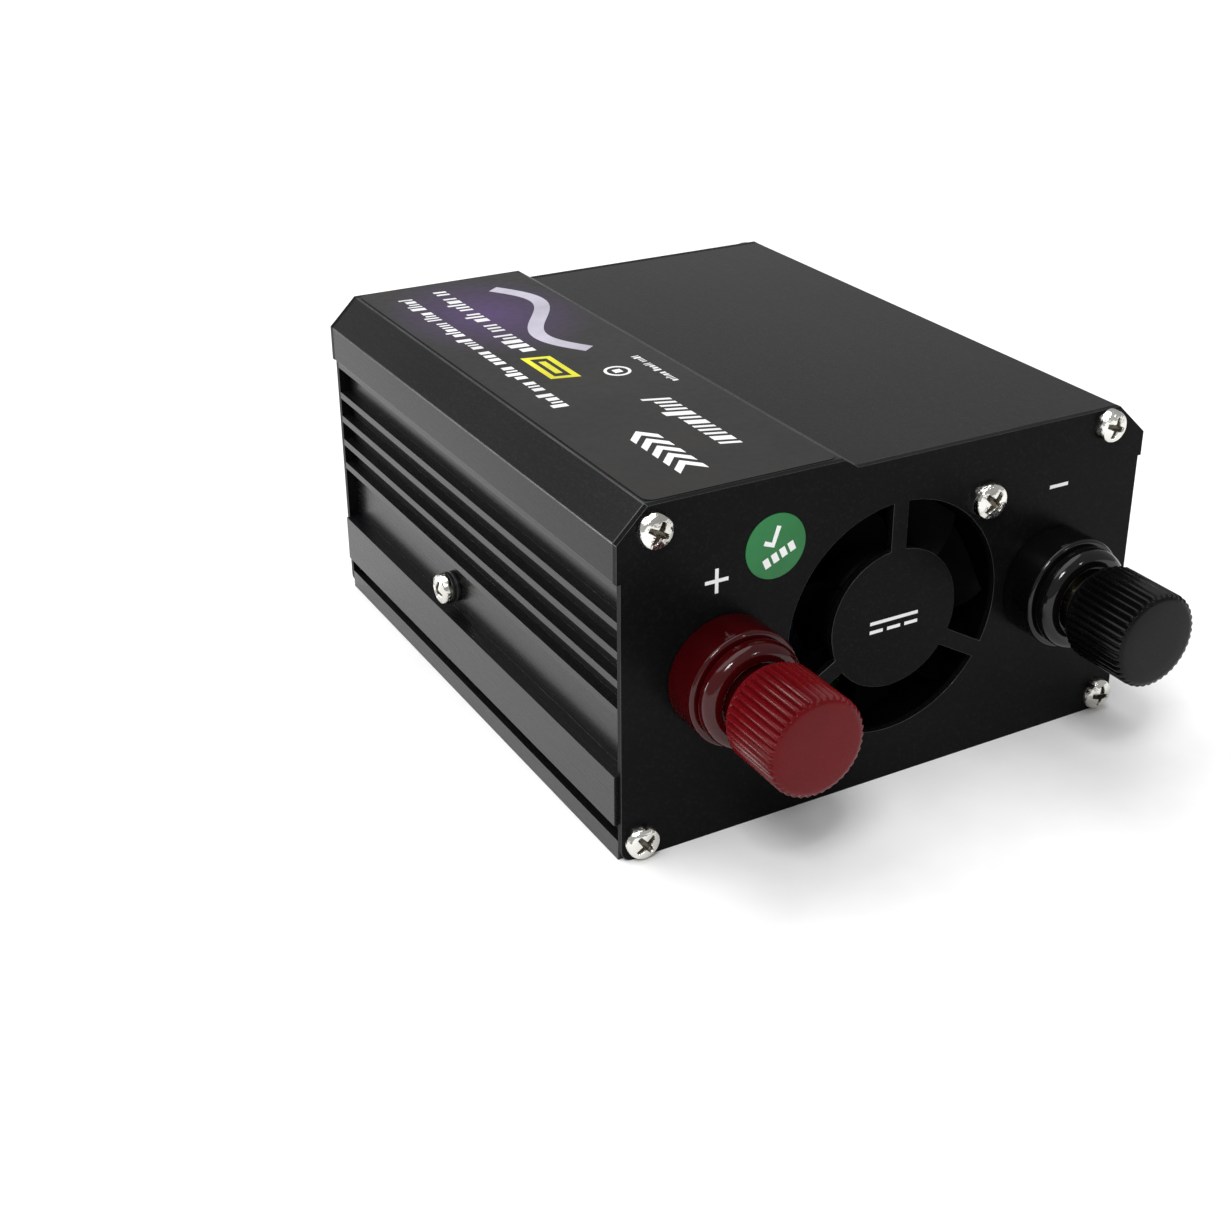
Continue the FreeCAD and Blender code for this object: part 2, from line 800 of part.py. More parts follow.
def make_fan_rotor():
    """Hub with slanted blades, on the frame's shaft."""
    hub_rear = f"{FAN_REAR} - strut_depth - hub_gap"
    hub = rod("rotor_hub", "fan_side", f"{hub_rear} - hub_length", "fan_up", "hub_radius",
              "hub_length", TO_REAR)
    blades = []
    middle = Vector(value("fan_side"), value(f"{hub_rear} - hub_length/2"), value("fan_up"))
    for i in range(FAN_BLADES):
        blade = doc.addObject("Part::Box", f"rotor_blade_{i}")
        bind(blade, "Length", "blade_radius - hub_radius + blade_root + overcut")
        bind(blade, "Width", "hub_length")
        bind(blade, "Height", "blade_thickness")
        turn = Rotation(Vector(0, -1, 0), 360.0 * i / FAN_BLADES)
        turn = turn.multiply(Rotation(Vector(1, 0, 0), BLADE_PITCH_ANGLE))
        corner = Vector(value("hub_radius - blade_root"), -value("hub_length/2"),
                        -value("blade_thickness/2"))
        blade.Placement = Placement(middle + turn.multVec(corner), turn)
        blades.append(blade)
    star = fuse("rotor_star", [hub] + blades)
    sweep = rod("rotor_sweep", "fan_side", f"{hub_rear} - hub_length", "fan_up", "blade_radius",
                "hub_length", TO_REAR)
    trimmed = doc.addObject("Part::Common", "rotor_trimmed")
    trimmed.Base = star
    trimmed.Tool = sweep
    bore = rod("rotor_bore", "fan_side", f"{hub_rear} - hub_length/2 - shaft_end_gap", "fan_up",
               "shaft_radius + thread_clearance", "hub_length/2 + shaft_end_gap", TO_REAR)
    node(cut("rotor", trimmed, [bore]), "fan_rotor")


# ---------------------------------------------------------------- binding posts

def make_post_base(colour, x):
    """Moulded insulator: flange, rounded collar and a shoulder through the plate."""
    body = new_body(colour + "_base_body")
    front = "base_length + collar_length"
    outline = [
        ("stud_radius", "plate_thickness"),
        ("post_hole_radius - screw_clearance", "plate_thickness"),
        ("post_hole_radius - screw_clearance", "0"),
        ("base_radius", "0"),
        ("base_radius", "-base_length"),
        ("collar_radius", "-base_length"),
        ("collar_radius", f"-({front})"),
        ("stud_radius", f"-({front})"),
    ]
    profile = sketch_on(body, colour + "_base_section", "XY_Plane", outline)
    turned = revolve(body, colour + "_base_turned", profile)
    rim = ring_edge_at(-value("base_length"), value("base_radius"))
    rim_round = round_edges(body, colour + "_base_rim", turned, rim, "base_round")
    crown = ring_edge_at(-value(front), value("collar_radius"))
    round_edges(body, colour + "_base_crown", rim_round, crown, "collar_round")
    place(body, x, FRONT_FACE, "post_up")
    node(body, colour + "_post_base")


def make_knob(colour, x):
    """Fluted knob with a socket for its brass insert."""
    body = new_body(colour + "_knob_body")
    outline = [
        ("0", "-knob_length"),
        ("knob_radius", "-knob_length"),
        ("knob_radius", "0"),
        ("insert_radius", "0"),
        ("insert_radius", "-insert_length"),
        ("0", "-insert_length"),
    ]
    profile = sketch_on(body, colour + "_knob_section", "XY_Plane", outline)
    revolve(body, colour + "_knob_turned", profile)
    doc.recompute()
    flutes = []
    count = int(value("flute_count"))
    for i in range(count):
        angle = 2 * math.pi * i / count
        flute = doc.addObject("Part::Cylinder", f"{colour}_flute_{i}")
        bind(flute, "Radius", "flute_radius")
        bind(flute, "Height", "knob_length")
        reach = value("knob_radius")
        centre = Vector(reach * math.cos(angle), 0, reach * math.sin(angle))
        flute.Placement = Placement(centre, TO_FRONT)
        flutes.append(flute)
    knob = cut(colour + "_knob_fluted", body, flutes)
    place(knob, x, f"{FRONT_FACE} - knob_start", "post_up")
    node(knob, colour + "_knob")
    start = f"{FRONT_FACE} - knob_start"
    sleeve = rod(colour + "_insert_outside", x, start, "post_up", "insert_radius",
                 "insert_length", TO_FRONT)
    thread = rod(colour + "_insert_bore", x, start, "post_up", "stud_radius + thread_clearance",
                 "insert_length", TO_FRONT)
    node(cut(colour + "_insert", sleeve, [thread]), colour + "_knob_insert")


def make_clamp_washer(colour, x):
    """Washer held captive behind the knob; it travels but doesn't turn."""
    start = f"{FRONT_FACE} - knob_start + washer_gap + clamp_washer_thickness"
    disc = rod(colour + "_washer_outside", x, start, "post_up", "clamp_washer_radius",
               "clamp_washer_thickness", TO_FRONT)
    hole = rod(colour + "_washer_hole", x, start, "post_up", "stud_radius + thread_clearance",
               "clamp_washer_thickness", TO_FRONT)
    node(cut(colour + "_washer", disc, [hole]), colour + "_clamp_washer")


def make_post_fixing(colour, x):
    """Stud, inner insulator, crimped lug, nut and the supply wire behind the plate."""
    stud = rod(colour + "_stud", x, f"{FRONT_FACE} - stud_length", "post_up", "stud_radius",
               "stud_length + stud_inside", TO_REAR)
    node(stud, colour + "_post_stud")
    ring = rod(colour + "_insulator_outside", x, SHELL_FRONT, "post_up", "insulator_radius",
               "insulator_thickness", TO_REAR)
    hole = rod(colour + "_insulator_hole", x, SHELL_FRONT, "post_up", "stud_radius",
               "insulator_thickness", TO_REAR)
    node(cut(colour + "_insulator", ring, [hole]), colour + "_post_insulator")

    lug_start = f"{SHELL_FRONT} + insulator_thickness"
    barrel_y = f"{lug_start} + lug_barrel_radius/2"
    barrel_top = "post_up - lug_barrel_drop"
    ring = rod(colour + "_lug_ring", x, lug_start, "post_up", "lug_radius", "lug_thickness", TO_REAR)
    tongue = block(colour + "_lug_tongue",
                   (f"({x}) - lug_barrel_radius", lug_start, f"{barrel_top} - lug_end_wall"),
                   (f"({x}) + lug_barrel_radius", f"{lug_start} + lug_thickness", "post_up"))
    barrel = rod(colour + "_lug_barrel", x, barrel_y, f"{barrel_top} - lug_barrel_length",
                 "lug_barrel_radius", "lug_barrel_length", UPWARD)
    lug = fuse(colour + "_lug_whole", [ring, tongue, barrel])
    holes = [
        rod(colour + "_lug_hole", x, lug_start, "post_up", "stud_radius", "lug_thickness", TO_REAR),
        rod(colour + "_lug_bore", x, barrel_y, f"{barrel_top} - lug_barrel_length",
            "supply_wire_radius", "lug_barrel_length - lug_end_wall", UPWARD),
    ]
    node(cut(colour + "_lug", lug, holes), colour + "_ring_lug")

    nut_start = f"{lug_start} + lug_thickness"
    prism = doc.addObject("Part::Prism", colour + "_nut_outside")
    prism.Polygon = 6
    bind(prism, "Circumradius", f"nut_flats/{math.sqrt(3):.5f}")
    bind(prism, "Height", "nut_length")
    place(prism, x, nut_start, "post_up", TO_REAR)
    hole = rod(colour + "_nut_hole", x, nut_start, "post_up", "stud_radius", "nut_length", TO_REAR)
    node(cut(colour + "_nut", prism, [hole]), colour + "_post_nut")

    corners = [
        (x, barrel_y, f"{barrel_top} - lug_end_wall"),
        (x, barrel_y, "supply_wire_up"),
        (x, "terminal_front", "supply_wire_up"),
    ]
    wire = bent_wire(colour + "_wire", corners, "supply_wire_bend", "supply_wire_radius")
    node(wire, colour + "_supply_wire")


def make_binding_posts():
    for colour, x in (("red", "-post_side"), ("black", "post_side")):
        make_post_base(colour, x)
        make_post_fixing(colour, x)
        make_clamp_washer(colour, x)
        make_knob(colour, x)


# ---------------------------------------------------------------- circuit board

def standoff_places():
    return [
        (f"{side}*standoff_side", f"standoff_middle + {way}*standoff_reach")
        for side in (-1, 1) for way in (-1, 1)
    ]


def make_board():
    low = ("-board_width/2", "board_front", "board_bottom")
    high = ("board_width/2", "board_rear", BOARD_TOP)
    holes = [
        rod(f"board_hole_{i}", across, along, "board_bottom", "pilot_radius", "board_thickness", UPWARD)
        for i, (across, along) in enumerate(standoff_places())
    ]
    node(cut("board", block("board_blank", low, high), holes), "circuit_board")
    standoffs = []
    screws = []
    board_screw = make_screw("board_screw", "board_thickness + board_screw_bite")
    for i, (across, along) in enumerate(standoff_places()):
        post = rod(f"standoff_outside_{i}", across, along, "floor_thickness", "standoff_radius",
                   "board_bottom - floor_thickness", UPWARD)
        hole = rod(f"standoff_hole_{i}", across, along, "board_bottom - board_screw_bite",
                   "pilot_radius", "board_screw_bite", UPWARD)
        standoffs.append(cut(f"standoff_{i}", post, [hole]))
        screws.append(copy_at(f"board_screw_{i}", board_screw, across, along, BOARD_TOP))
    node(group("standoff_set", standoffs), "board_standoffs")
    node(group("board_screw_set", screws), "board_screws")


def make_wire_terminals():
    """Blocks on the board that the two supply wires run into."""
    blocks = []
    for i, side in enumerate(("-1", "1")):
        low = (f"{side}*post_side - terminal_block/2", "terminal_front", BOARD_TOP)
        high = (f"{side}*post_side + terminal_block/2", "terminal_front + terminal_block",
                f"{BOARD_TOP} + terminal_height")
        blocks.append(block(f"terminal_{i}", low, high))
    node(group("terminal_pair", blocks), "wire_terminals")


def make_transformer():
    middle_up = f"{BOARD_TOP} + core_height/2"
    window_width = "(core_width - core_leg)/2 - core_yoke"
    window_height = "core_height - core_yoke*2"
    window_shift = f"(core_leg + {window_width})/2"
    core = centred_block("core_block", "core_side", "0", middle_up,
                         "core_width", "core_depth", "core_height")
    windows = [
        centred_block(f"core_window_{i}", f"core_side + {side}*({window_shift})", "0", middle_up,
                      window_width, "core_depth", window_height)
        for i, side in enumerate((-1, 1))
    ]
    node(cut("core", core, windows), "transformer_core")
    coil = centred_block("coil_block", "core_side", "0", middle_up, f"core_leg + 2*({window_width})",
                         "core_depth + 2*winding_reach", window_height)
    leg = centred_block("coil_hole", "core_side", "0", middle_up, "core_leg", "core_depth", window_height)
    node(cut("coil", coil, [leg]), "transformer_winding")


def make_capacitors():
    cans = [
        rod(f"input_can_{i}", f"capacitor_side + {i}*capacitor_pitch", "capacitor_along", BOARD_TOP,
            "capacitor_radius", "capacitor_height", UPWARD)
        for i in range(2)
    ]
    node(group("input_cans", cans), "input_capacitors")
    bulk = rod("bulk_can", "bulk_side", "bulk_along", BOARD_TOP, "bulk_radius", "bulk_height", UPWARD)
    node(bulk, "bulk_capacitor")


def make_choke():
    torus = doc.addObject("Part::Torus", "choke_ring")
    bind(torus, "Radius1", "choke_radius")
    bind(torus, "Radius2", "choke_section")
    place(torus, "bulk_side", "choke_along", f"{BOARD_TOP} + choke_section")
    node(torus, "output_choke")


def make_fuses():
    """Two blade fuses standing in the supply line."""
    fuses = []
    for i in range(2):
        along = f"fuse_front + {i}*fuse_pitch"
        case = centred_block(f"fuse_case_{i}", "fuse_side", along,
                             f"{BOARD_TOP} + fuse_lift + fuse_height/2",
                             "fuse_width", "fuse_thickness", "fuse_height")
        blades = [
            centred_block(f"fuse_blade_{i}_{side}", f"fuse_side + {side}*fuse_blade_shift", along,
                          f"{BOARD_TOP} + fuse_lift/2", "fuse_blade_width", "fuse_blade_thickness",
                          "fuse_lift")
            for side in (-1, 1)
        ]
        fuses.append(fuse(f"fuse_{i}", [case] + blades))
    node(group("fuse_pair", fuses), "blade_fuses")


def make_chips():
    chips = [
        centred_block(f"chip_{i}", "chip_side", f"chip_front + {i}*chip_pitch",
                      f"{BOARD_TOP} + chip_height/2", "chip_length", "chip_width", "chip_height")
        for i in range(2)
    ]
    node(group("chip_pair", chips), "control_chips")


def make_transistor(name, side, along):
    """Power transistor with its tab flat against the wall and three legs in the board."""
    wall_face = f"({INNER_SIDE} - pad_thickness)"
    low_up = "transistor_low"
    top_up = "transistor_low + transistor_height"
    body = centred_block(name + "_body", f"{side}*({wall_face} - transistor_depth/2)", along,
                         f"{low_up} + transistor_height/2", "transistor_depth", "transistor_width",
                         "transistor_height")
    tab = centred_block(name + "_tab", f"{side}*({wall_face} - tab_depth/2)", along,
                        f"{top_up} + tab_height/2", "tab_depth", "transistor_width", "tab_height")
    legs = [
        centred_block(f"{name}_leg_{i}", f"{side}*({wall_face} - transistor_depth/2 - leg_inset)",
                      f"{along} + {i - 1}*leg_pitch", f"({BOARD_TOP} + {low_up})/2", "leg_width/2",
                      "leg_width", f"{low_up} - ({BOARD_TOP})")
        for i in range(3)
    ]
    return fuse(name, [body, tab] + legs)


def make_transistors():
    pads = []
    bars = []
    pad_middle = "(pad_low + pad_high)/2"
    bar_shift = f"({INNER_SIDE} - pad_thickness - transistor_depth - bar_thickness/2)"
    for name, side, turn in (("left", "-1", TO_LEFT), ("right", "1", TO_RIGHT)):
        row = [
            make_transistor(f"{name}_transistor_{i}", side,
                            f"side_screw_along + ({i} - {TRANSISTORS_PER_SIDE - 1}/2)*transistor_pitch")
            for i in range(TRANSISTORS_PER_SIDE)
        ]
        node(group(name + "_transistor_row", row), name + "_transistors")
        sheet_block = centred_block(name + "_pad_sheet", f"{side}*({INNER_SIDE} - pad_thickness/2)",
                                    "side_screw_along", pad_middle, "pad_thickness", "pad_length",
                                    "pad_high - pad_low")
        hole = rod(name + "_pad_hole", f"{side}*({INNER_SIDE} - pad_thickness)", "side_screw_along",
                   "side_screw_up", "screw_radius", "pad_thickness", turn)
        pads.append(cut(name + "_pad", sheet_block, [hole]))
        bar = centred_block(name + "_bar_strip", f"{side}*{bar_shift}", "side_screw_along",
                            "side_screw_up", "bar_thickness", "pad_length", "bar_height")
        thread = rod(name + "_bar_thread", f"{side}*({bar_shift} - bar_thickness)", "side_screw_along",
                     "side_screw_up", "pilot_radius", "2*bar_thickness", turn)
        bars.append(cut(name + "_bar", bar, [thread]))
    node(group("pad_pair", pads), "insulating_pads")
    node(group("bar_pair", bars), "clamp_bars")


# ---------------------------------------------------------------- rear panel

def blade_slot(name, side, tall, width, depth):
    """Box for a blade slot, cut in from the outlet's face."""
    x = f"outlet_side + {side}*blade_spacing/2"
    up = "outlet_up + blade_rise"
    face = f"{REAR_FACE} + outlet_flange_thickness"
    return block(name,
                 (f"{x} - {width}/2", f"{face} - {depth}", f"{up} - {tall}/2"),
                 (f"{x} + {width}/2", face, f"{up} + {tall}/2"))


def make_outlet():
    back = f"{REAR_FACE} - outlet_depth"
    face = f"{REAR_FACE} + outlet_flange_thickness"
    half = "outlet_width/2"
    rim = "outlet_width/2 + outlet_flange"
    body = block("outlet_body", (f"outlet_side - {half}", back, f"outlet_up - {half}"),
                 (f"outlet_side + {half}", REAR_FACE, f"outlet_up + {half}"))
    flange = block("outlet_rim", (f"outlet_side - ({rim})", REAR_FACE, f"outlet_up - ({rim})"),
                   (f"outlet_side + {rim}", face, f"outlet_up + {rim}"))
    whole = fuse("outlet_whole", [body, flange])
    slots = [
        blade_slot("live_slot", -1, "blade_slot_short", "blade_slot_width", "slot_reach"),
        blade_slot("neutral_slot", 1, "blade_slot_tall", "blade_slot_width", "slot_reach"),
        rod("earth_hole", "outlet_side", f"{face} - slot_reach", "outlet_up - earth_drop",
            "earth_radius", "slot_reach", TO_REAR),
    ]
    tail_holes = [
        centred_block(f"tail_hole_{i}", f"outlet_side + {side}*blade_spacing/2",
                      f"({back} + {face} - slot_reach)/2", "outlet_up + blade_rise",
                      "contact_thickness", f"{face} - slot_reach - ({back})", "contact_height")
        for i, side in enumerate((-1, 1))
    ]
    node(cut("outlet", whole, slots + tail_holes), "outlet_housing")
    make_outlet_contacts(back, face)
    make_outlet_wires(back)


def make_outlet_contacts(back, face):
    """Brass leaf at the outer wall of each blade slot, with a tail out of the back."""
    contacts = []
    root = f"{face} - slot_reach"
    low = "outlet_up + blade_rise - contact_height/2"
    high = "outlet_up + blade_rise + contact_height/2"
    for i, side in enumerate((-1, 1)):
        slot = f"outlet_side + {side}*blade_spacing/2"
        leaf_shift = "(blade_slot_width - contact_thickness)/2"
        leaf = centred_block(f"contact_leaf_{i}", f"{slot} + {side}*{leaf_shift}",
                             f"{root} + leaf_length/2", "outlet_up + blade_rise",
                             "contact_thickness", "leaf_length", "leaf_height")
        foot = block(f"contact_foot_{i}",
                     (f"{slot} - contact_foot/2", root, low),
                     (f"{slot} + contact_foot/2", f"{root} + contact_thickness", high))
        tail = block(f"contact_tail_{i}",
                     (f"{slot} - contact_thickness/2", f"{back} - contact_tail", low),
                     (f"{slot} + contact_thickness/2", root, high))
        contacts.append(fuse(f"contact_{i}", [leaf, foot, tail]))
    node(group("contact_pair", contacts), "outlet_contacts")


def make_outlet_wires(back):
    wires = []
    for i, side in enumerate((-1, 1)):
        x = f"outlet_side + {side}*blade_spacing/2"
        corners = [
            (x, "outlet_wire_start", BOARD_TOP),
            (x, "outlet_wire_start", "outlet_up + blade_rise"),
            (x, f"{back} - contact_tail", "outlet_up + blade_rise"),
        ]
        wires.append(bent_wire(f"outlet_wire_{i}", corners, "outlet_wire_bend", "outlet_wire_radius"))
    node(group("outlet_wire_pair", wires), "outlet_wires")


PIVOT_Y = f"{REAR_FACE} - pivot_depth"


def make_switch_frame():
    back = f"{REAR_FACE} - switch_depth"
    body = block("switch_body",
                 ("switch_side - switch_width/2", back, "switch_up - switch_tall/2"),
                 ("switch_side + switch_width/2", REAR_FACE, "switch_up + switch_tall/2"))
    rim = block("switch_rim",
                ("switch_side - switch_width/2 - switch_flange", REAR_FACE,
                 "switch_up - switch_tall/2 - switch_flange"),
                ("switch_side + switch_width/2 + switch_flange", f"{REAR_FACE} + switch_flange_thickness",
                 "switch_up + switch_tall/2 + switch_flange"))
    whole = fuse("switch_whole", [body, rim])
    well = block("switch_well",
                 ("switch_side - rocker_hole_width/2", f"{REAR_FACE} - rocker_hole_depth",
                  "switch_up - rocker_hole_tall/2"),
                 ("switch_side + rocker_hole_width/2", f"{REAR_FACE} + switch_flange_thickness",
                  "switch_up + rocker_hole_tall/2"))
    pivot = rod("switch_pivot_hole", "switch_side - switch_width/2 + pivot_end_wall", PIVOT_Y,
                "switch_up", "pivot_radius + thread_clearance", "switch_width - 2*pivot_end_wall",
                TO_RIGHT)
    node(cut("switch", whole, [well, pivot]), "switch_frame")
    tabs = [
        centred_block(f"switch_{shift}", "switch_side", f"{back} - tab_reach/2", f"switch_up + {shift}",
                      "tab_width", "tab_reach", "tab_thickness")
        for shift in ("tab_low", "tab_high")
    ]
    node(group("switch_tabs", tabs), "switch_terminals")


def make_rocker():
    """Two-faced paddle on a cross pin, stored with its lower half pressed in."""
    body = new_body("rocker_profile")
    outline = [
        ("rocker_root", "-rocker_flank"),
        ("-rocker_valley/2", "-rocker_keel"),
        ("-rocker_valley/2", "rocker_keel"),
        ("rocker_root", "rocker_flank"),
        ("rocker_root", "rocker_reach"),
        ("rocker_crown", "rocker_reach"),
        ("rocker_valley", "0"),
        ("rocker_crown", "-rocker_reach"),
        ("rocker_root", "-rocker_reach"),
    ]
    profile = sketch_on(body, "rocker_section", "YZ_Plane", outline)
    pad(body, "rocker_pad", profile, "rocker_width")
    pin_inset = "(pivot_end_wall + pivot_end_gap)"
    pin = rod("rocker_pin", f"{pin_inset} - switch_width/2", "0", "0", "pivot_radius",
              f"switch_width - 2*{pin_inset}", TO_RIGHT)
    rocker = fuse("rocker", [body, pin])
    tilt = Rotation(Vector(1, 0, 0), -value("rocker_tilt"))
    place(rocker, "switch_side", PIVOT_Y, "switch_up", tilt)
    node(rocker, "switch_rocker")


def make_usb():
    middle_up = f"{BOARD_TOP} + usb_tall/2"
    face = f"{REAR_FACE} + usb_proud"
    middle = f"{face} - usb_depth/2"
    outside = centred_block("usb_outside", "usb_side", middle, middle_up,
                            "usb_width", "usb_depth", "usb_tall")
    inside = block("usb_inside",
                   ("usb_side - usb_width/2 + usb_wall", f"{face} - usb_depth + usb_wall",
                    f"{BOARD_TOP} + usb_wall"),
                   ("usb_side + usb_width/2 - usb_wall", face, f"{BOARD_TOP} + usb_tall - usb_wall"))
    node(cut("usb", outside, [inside]), "usb_shell")
    root = f"{face} - usb_depth + usb_wall"
    tongue_top = f"{BOARD_TOP} + usb_tall - usb_wall - usb_tongue_drop"
    foot_end = f"{root} + usb_foot_depth"
    foot = block("usb_foot",
                 ("usb_side - usb_width/2 + usb_wall", root, f"{BOARD_TOP} + usb_wall"),
                 ("usb_side + usb_width/2 - usb_wall", foot_end, f"{BOARD_TOP} + usb_tall - usb_wall"))
    tongue = block("usb_slab",
                   ("usb_side - usb_tongue_width/2", root, f"{tongue_top} - usb_tongue_thickness"),
                   ("usb_side + usb_tongue_width/2", f"{foot_end} + usb_tongue_length", tongue_top))
    node(fuse("usb_insulator", [foot, tongue]), "usb_tongue")


def make_led():
    start = f"{REAR_FACE} - led_length"
    barrel = rod("led_barrel", "led_side", start, "led_up", "led_radius", "led_length", TO_REAR)
    dome = doc.addObject("Part::Sphere", "led_dome")
    bind(dome, "Radius", "led_radius")
    place(dome, "led_side", REAR_FACE, "led_up")
    node(fuse("led", [barrel, dome]), "power_led")


# ---------------------------------------------------------------- document

def check_document():
    """Stop if any object failed or any sub-part is empty or invalid."""
    for thing in doc.Objects:
        if "Invalid" in thing.State or "Error" in thing.State:
            raise RuntimeError(f"{thing.Label} failed: {thing.State}")
    for thing in nodes:
        if thing.Shape.isNull() or not thing.Shape.isValid():
            raise RuntimeError(f"{thing.Label} has no valid shape")


def write_parts():
    os.makedirs("parts", exist_ok=True)
    for thing in nodes:
        thing.Shape.exportStep(f"parts/{thing.Label}.step")
        box = thing.Shape.BoundBox
        print(f"{thing.Label}: {len(thing.Shape.Solids)} solids, {thing.Shape.Volume:.0f} mm3, "
              f"x {box.XMin:.1f} {box.XMax:.1f} y {box.YMin:.1f} {box.YMax:.1f} "
              f"z {box.ZMin:.1f} {box.ZMax:.1f}")


fill_sheet()
make_top_cover()
make_lower_channel()
make_front_plate()
make_rear_plate()
make_plate_screws()
make_side_screws()
make_stickers()
make_fan_frame()
make_fan_rotor()
make_binding_posts()
make_board()
make_wire_terminals()
make_transformer()
make_capacitors()
make_choke()
make_fuses()
make_chips()
make_transistors()
make_outlet()
make_switch_frame()
make_rocker()
make_usb()
make_led()
doc.recompute()
check_document()
write_parts()
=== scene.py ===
import json
import math
import random

import bmesh
import bpy
from mathutils import Matrix, Vector

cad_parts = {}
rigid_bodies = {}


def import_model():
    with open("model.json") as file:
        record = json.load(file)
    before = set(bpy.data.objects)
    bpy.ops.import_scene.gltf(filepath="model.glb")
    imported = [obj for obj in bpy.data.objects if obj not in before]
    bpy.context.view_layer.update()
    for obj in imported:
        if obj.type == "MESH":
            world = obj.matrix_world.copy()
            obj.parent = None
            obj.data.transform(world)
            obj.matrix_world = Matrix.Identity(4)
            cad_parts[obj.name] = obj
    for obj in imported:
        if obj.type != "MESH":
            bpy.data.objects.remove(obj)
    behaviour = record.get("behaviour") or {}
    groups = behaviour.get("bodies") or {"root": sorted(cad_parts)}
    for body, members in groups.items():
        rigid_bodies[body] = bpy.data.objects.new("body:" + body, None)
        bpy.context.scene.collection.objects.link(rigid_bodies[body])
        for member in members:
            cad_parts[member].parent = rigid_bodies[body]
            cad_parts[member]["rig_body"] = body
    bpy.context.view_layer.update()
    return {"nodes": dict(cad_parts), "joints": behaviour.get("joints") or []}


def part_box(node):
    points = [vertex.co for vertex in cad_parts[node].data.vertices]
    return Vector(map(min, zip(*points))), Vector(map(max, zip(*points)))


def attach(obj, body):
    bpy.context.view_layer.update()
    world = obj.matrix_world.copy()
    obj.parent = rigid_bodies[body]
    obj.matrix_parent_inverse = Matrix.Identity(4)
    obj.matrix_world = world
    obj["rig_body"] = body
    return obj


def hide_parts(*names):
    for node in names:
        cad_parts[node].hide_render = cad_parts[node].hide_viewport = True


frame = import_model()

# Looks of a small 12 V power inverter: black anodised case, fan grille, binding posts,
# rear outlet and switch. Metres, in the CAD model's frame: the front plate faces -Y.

MM = 0.001
CASE = "case"
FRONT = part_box("front_plate")[0].y
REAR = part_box("rear_plate")[1].y


# ------------------------------------------------------------------ camera

CAMERA_PLACE = Vector((-151.9, -243.6, 153.9)) * MM
CAMERA_AHEAD = Vector((0.463, 0.773, -0.434))
CAMERA_RIGHT = Vector((0.860, -0.510, 0.010))
FOCAL_LENGTH = 53.55
SENSOR_WIDTH = 36.0
PICTURE_SHIFT = (-0.0524, -0.0451)
NEAREST = 0.01


def make_camera():
    """Three-quarter view of the front plate and the left side, from above."""
    place = CAMERA_PLACE
    ahead = CAMERA_AHEAD.normalized()
    right = (CAMERA_RIGHT - ahead * CAMERA_RIGHT.dot(ahead)).normalized()
    up = right.cross(ahead)
    data = bpy.data.cameras.new("camera")
    data.sensor_width = SENSOR_WIDTH
    data.lens = FOCAL_LENGTH
    data.shift_x, data.shift_y = PICTURE_SHIFT
    data.clip_start = NEAREST
    camera = bpy.data.objects.new("camera", data)
    camera.matrix_world = Matrix((
        (right.x, up.x, -ahead.x, place.x),
        (right.y, up.y, -ahead.y, place.y),
        (right.z, up.z, -ahead.z, place.z),
        (0, 0, 0, 1),
    ))
    bpy.context.scene.collection.objects.link(camera)
    bpy.context.scene.camera = camera


# ------------------------------------------------------------------ node trees

